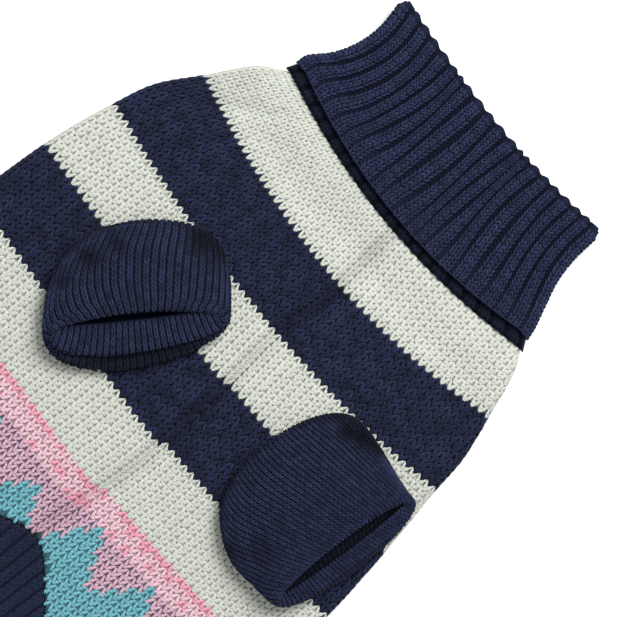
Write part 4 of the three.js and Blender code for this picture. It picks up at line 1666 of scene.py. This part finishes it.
@dataclass
class Band:
    """The rib band round the leg end, over the belly's arch and round the tail."""

    body: Body
    length: float = 20.0
    gap: float = 0.45
    ribs_front: int = 17
    ribs_back: int = 16
    rib_height: float = 0.6
    rib_end: float = 0.97  # share of the half width where the ribs stop
    fold_slope_from: float = 0.9  # share of the half width where the hem turns to the folds' slope
    wall: float = 2.0
    course: float = 2.2
    course_middle: float = 0.6
    wale_half: float = 0.18  # a wale's middle from its rib's middle, in ribs
    wale_size: float = 0.34
    light_spread: float = 0.12
    stitch_depth: float = 0.25
    ground_shade: float = 0.6
    rows: int = 12
    rib_cells: tuple[int, int] = (6, 12)  # on the belly and on the back
    fold_cells: int = 8
    columns_per_wale: float = 3.0

    @property
    def fold_slope(self) -> float:
        """Slope of the belly's hem where it meets the side folds."""
        return float(self.slope(self.body.belly_hem_y, np.array(1.0)))

    def slope(self, edge: Callable[[Array], Array], q: Array) -> Array:
        """Slope of a hem curve, from two places close together.

        Args:
            edge: Gives the curve's Y for a share of the half width.
            q: Shares of the half width.

        Returns:
            Millimetres up for each millimetre out.
        """
        half = float(self.body.reach(-1.0, self.body.hem_side_y))
        small = 0.01
        q = np.clip(np.abs(q), small, 1.0)
        return (edge(q + small) - edge(q - small)) / (2 * small * half)

    def face(self, layer: Layer, depth: float, ribbed: bool) -> Surface:
        """A face of the band's belly part or back part.

        Along v the face follows the hem's slope. Across it, each rib is half a cosine high.

        Args:
            layer: Which part.
            depth: Distance under the belly's face, or over the back's.
            ribbed: Whether the ribs are raised.

        Returns:
            The face as a function of ribs from the middle and minus the way down.
        """
        b = self.body
        on_belly = layer is Layer.BELLY
        edge, ribs = (b.belly_hem_y, self.ribs_front) if on_belly else (b.tail_y, self.ribs_back)

        def place(u: Array, v: Array) -> Array:
            """The face's points.

            Args:
                u: Ribs from the middle.
                v: The place along, in millimetres.

            Returns:
                The points.
            """
            q = np.clip(u / ribs, -1, 1)
            side_y = b.hem_side_y + v * math.hypot(1, self.fold_slope)
            blend = ease(np.abs(q), self.fold_slope_from, 1.0)
            slope = self.slope(edge, q) * (1 - blend) + self.fold_slope * blend
            y = edge(np.abs(q)) + v * np.hypot(1, slope)
            x = b.across(q, side_y, on_belly)
            raised = self.rib_height * (0.5 + 0.5 * np.cos(TAU * u)) * (np.abs(q) < self.rib_end)
            z = b.height(x, y) - depth if on_belly else b.underside(y) + depth
            return np.stack([x, y, z + raised * ribbed + 0 * x], -1)

        return place

    def cloth(self) -> bpy.types.Object:
        """The band's shell: a tube with ribs on the belly's outer and the back's inner face.

        Returns:
            The piece.
        """
        b, fold = self.body, self.fold_cells
        belly, back = self.ribs_front * self.rib_cells[0], self.ribs_back * self.rib_cells[1]
        v = -(self.gap + np.linspace(0, self.length, self.rows))[:, None]
        u_belly = np.linspace(0, self.ribs_front, belly, endpoint=False)
        u_back = np.linspace(self.ribs_back, -self.ribs_back, back + 1)[1:-1]
        turn = np.linspace(0, math.pi, fold + 1)
        side_y = b.hem_side_y + v * math.hypot(1, self.fold_slope)

        def fold_part(side: int, depth: float, angles: Array) -> Array:
            """A face of the part round one side fold.

            Args:
                side: -1 for the left fold, 1 for the right one.
                depth: How far it lies under the solid's face.
                angles: Turns round the fold, from its top.

            Returns:
                The points by row and column.
            """
            radius = b.radius - depth
            x = side * (b.reach(np.full_like(side_y, side), side_y) - b.radius + radius * np.sin(angles))
            z = b.underside(side_y) + b.radius + radius * np.cos(angles) + 0 * x
            return np.stack([x, side_y + 0 * x, z], -1)

        def face(depth: float, belly_rib: bool, back_rib: bool) -> Array:
            """A whole face of the wall, from the belly's middle round to it again.

            Args:
                depth: How far it lies under the solid's face.
                belly_rib: Whether the belly's ribs are raised.
                back_rib: Whether the back's ribs are raised.

            Returns:
                The points by row and column.
            """
            top = self.face(Layer.BELLY, depth, belly_rib)
            low = self.face(Layer.BACK, depth, back_rib)
            return np.concatenate([
                top(u_belly + 0 * v, v + 0 * u_belly),
                fold_part(1, depth, turn),
                low(u_back + 0 * v, v + 0 * u_back),
                fold_part(-1, depth, turn[::-1]),
                top(-u_belly[:0:-1] + 0 * v, v + 0 * u_belly[1:]),
            ], 1)

        outer, inner = face(self.stitch_depth, True, False), face(self.wall, False, True)
        resting = slice(belly + fold // 2, belly + 2 * fold + back - fold // 2)
        outer[:, resting] = face(0.0, False, False)[:, resting]
        columns = outer.shape[1]
        wale = np.tile(np.arange(columns) / self.columns_per_wale, self.rows)
        uv = np.stack([wale, np.repeat(-v[:, 0] / self.course, columns)], 1)
        faces = wall_faces(self.rows, columns, True)
        return make_wall("hem_band_cloth", outer, inner, faces, NAVY * self.ground_shade, uv)

    def stitches(self, layer: Layer) -> bpy.types.Object:
        """Two wales of stitches on each rib of one part of the band.

        Args:
            layer: Which part.

        Returns:
            The piece.
        """
        on_belly = layer is Layer.BELLY
        ribs = self.ribs_front if on_belly else self.ribs_back
        courses = np.arange(int(self.length / self.course))
        rib, wale, course = counted(np.arange(-ribs, ribs + 1), np.array([-1, 1]), courses)
        u = rib + wale * self.wale_half
        v = -(self.gap + (course + self.course_middle) * self.course)
        keep = np.abs(u) < ribs * self.rib_end
        colour = shaded(np.tile(NAVY, (len(u), 1)), self.light_spread, 41)
        legs = both_legs(u, v, colour, self.wale_size, self.course).kept(np.concatenate([keep, keep]))
        form = LegForm(
            lift_top=0.05, lift_foot=-0.05, arch=0.25, half_width=0.62, half_height=0.42, pitch_mm=2.0
        )
        place = self.face(layer, self.stitch_depth if on_belly else self.wall, True)
        return legs.mesh(f"hem_band_{layer.value}_stitches", place, form)


def sleeves(body: Body) -> list[Sleeve]:
    """The two sleeves, in the sizes of their solids.

    Args:
        body: The body that they lie on.

    Returns:
        The left and the right one.
    """
    left = [
        SleeveRow(0, -17, 3, 1.25, 1.25, 8, 24), SleeveRow(1, -20.5, 8, 4.6, 1.7, 6, 28.5),
        SleeveRow(2, -13, 21, 8.4, 1.7, 3, 33, 1.5), SleeveRow(3, -2, 30.8, 9.4, 1.9, 1.5, 34, 3.5),
        SleeveRow(4, 6, 31.8, 9.7, 2.9, 1.5, 33.5, 3.5), SleeveRow(5, 9.5, 25.5, 9.6, 4.8, 1.5, 33, 2.5),
        SleeveRow(6, 11.5, 26.3, 9.0, 7.6, 1.5, 32, 2), SleeveRow(7, 12.5, 15.2, 8.1, 7.3, 1.5, 30, 1),
    ]
    right = [
        SleeveRow(0, -12, 8, 1.25, 1.25, 3, 27), SleeveRow(1, -15.5, 15, 4.6, 1.7, 2, 31),
        SleeveRow(2, -6, 28, 8.2, 1.7, -0.8, 33.6), SleeveRow(3, 8, 36, 10.0, 1.8, -0.8, 32.4),
        SleeveRow(4, 19, 39.5, 10.2, 2.6, -0.5, 31.8), SleeveRow(5, 27, 40, 9.4, 4.4, 0.5, 31),
        SleeveRow(6, 28.5, 33, 8.4, 5.6, 1, 30),
    ]
    left_dents = [
        Dent(-11, 27, 6, 3.6), Dent(-4, 33, 4, 2.0), Dent(-13, -5, 4.5, 2.6), Dent(-8, -15, 5, 3.8),
        Dent(-1, -25, 4.5, 3.0),
    ]
    right_dents = [
        Dent(-2, 26.5, 3.5, 3.0), Dent(4, 29.5, 4, 4.2), Dent(10, 32.5, 4, 3.6), Dent(15, -24, 5, 2.2),
        Dent(8, -34, 4, 2.6),
    ]
    return [
        Sleeve("sleeve_left", body, -45, -98, -35.2, 0.0, 56, left, left_dents),
        Sleeve("sleeve_right", body, 50, -100, -3, 0.115, 80, right, right_dents),
    ]


@dataclass
class Studio:
    """The pale floor, the soft light and the camera straight above, at the photograph's scale and turn."""

    mm_per_pixel: float = 0.37
    image_wide: int = 618
    centre: tuple = (5.66, -54.2)
    turn_degrees: float = 50.27
    height_m: float = 1.1
    cloth_top_m: float = 0.008
    sensor_mm: float = 36.0
    floor_half_m: float = 3.0
    floor_light: tuple = (0.93, 0.93, 0.93, 1)
    floor_dark: tuple = (0.88, 0.88, 0.88, 1)
    floor_roughness: float = 0.9
    grain_share: float = 0.05
    grain_per_m: float = 6.0
    sky: tuple = (0.97, 0.98, 1.0, 1)
    sky_strength: float = 0.5

    def camera(self) -> None:
        """Places the camera so that a pixel spans the photograph's millimetres on the cloth."""
        data = bpy.data.cameras.new("overhead")
        data.sensor_width = self.sensor_mm
        wide = self.mm_per_pixel * MM * self.image_wide
        data.lens = self.sensor_mm * (self.height_m - self.cloth_top_m) / wide
        camera = bpy.data.objects.new("overhead", data)
        x, y = (np.array(self.centre) + NECK_MIDDLE[:2]) * MM
        camera.location = (x, y, self.height_m)
        camera.rotation_euler = (0, 0, math.radians(self.turn_degrees))
        bpy.context.scene.collection.objects.link(camera)
        bpy.context.scene.camera = camera

    def light(self, name: str, toward: tuple, distance: float, size: float, power: float) -> None:
        """Adds a square soft light that faces the sweater.

        Args:
            name: The light's name.
            toward: Direction from the sweater to the light.
            distance: How far it stands, in metres.
            size: Its side, in metres.
            power: Its power, in watts.
        """
        data = bpy.data.lights.new(name, "AREA")
        data.size = size
        data.energy = power
        lamp = bpy.data.objects.new(name, data)
        way = unit(np.array(toward, float))
        lamp.location = way * distance
        lamp.rotation_mode = "QUATERNION"
        lamp.rotation_quaternion = Vector(way).to_track_quat("Z", "Y")
        bpy.context.scene.collection.objects.link(lamp)

    def floor(self) -> None:
        """A plain pale floor under the sweater."""
        s = self.floor_half_m
        mesh = bpy.data.meshes.new("floor")
        mesh.from_pydata([(-s, -s, 0), (s, -s, 0), (s, s, 0), (-s, s, 0)], [], [(0, 1, 2, 3)])
        piece = bpy.data.objects.new("floor", mesh)
        bpy.context.scene.collection.objects.link(piece)
        nodes = Nodes("pale_floor")
        grain = nodes.noise(self.grain_per_m) * self.grain_share
        pale = nodes.blend(grain, self.floor_light, self.floor_dark)
        nodes.set(nodes.shader.inputs["Base Color"], pale)
        nodes.shader.inputs["Roughness"].default_value = self.floor_roughness
        mesh.materials.append(nodes.material)

    def build(self) -> None:
        """Makes the whole studio."""
        self.camera()
        self.floor()
        world = bpy.data.worlds.new("pale")
        world.use_nodes = True
        background = world.node_tree.nodes["Background"].inputs
        background["Color"].default_value = self.sky
        background["Strength"].default_value = self.sky_strength
        bpy.context.scene.world = world
        self.light("key", toward=(-0.1, 1.0, 1.15), distance=1.3, size=0.7, power=22.0)
        self.light("fill", toward=(0.5, -0.2, 1.3), distance=1.6, size=1.4, power=3.0)
        bpy.context.scene.view_settings.view_transform = "Standard"


def dress(
    piece: bpy.types.Object, material: bpy.types.Material, node: str | None = None
) -> None:
    """Gives a piece its material, slot and body, and hides the solid it stands for.

    Args:
        piece: The piece.
        material: Its finish.
        node: The solid that it replaces, or None.
    """
    piece.data.materials.append(material)
    if node:
        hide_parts(node)
    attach(piece, "root")
    log.info("%s: %d faces", piece.name, len(piece.data.polygons))


def main() -> None:
    """Builds the studio and the sweater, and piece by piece."""
    Studio().build()
    yarn = YarnFinish("knit_yarn").material()
    ground = KnitGroundFinish("knit_ground").material()

    body = Body()
    cuffs = sleeves(body)
    dresser = BodyDresser(body, Chart(), [sleeve.armhole() for sleeve in cuffs])
    cloth = dresser.cloth()
    dress(cloth, ground, "body_panel")
    on_body = [dresser.stitches(side) for side in (-1, 1)]
    for piece in on_body:
        dress(piece, yarn)

    collar = Collar()
    cloth = collar.cloth()
    dress(cloth, ground, "collar")
    pieces = [collar.stitches(), collar.neck_stitches(), collar.edge_cord()]
    for piece in pieces:
        dress(piece, yarn)

    for sleeve in cuffs:
        cloth = sleeve.cloth()
        dress(cloth, ground, sleeve.name)
        pieces = [sleeve.stitches(), sleeve.inner_stitches()]
        for piece in pieces:
            dress(piece, yarn)

    band = Band(body)
    cloth = band.cloth()
    dress(cloth, ground, "hem_band")
    pieces = [band.stitches(layer) for layer in Layer]
    for piece in pieces:
        dress(piece, yarn)


if __name__ == "__main__":
    main()
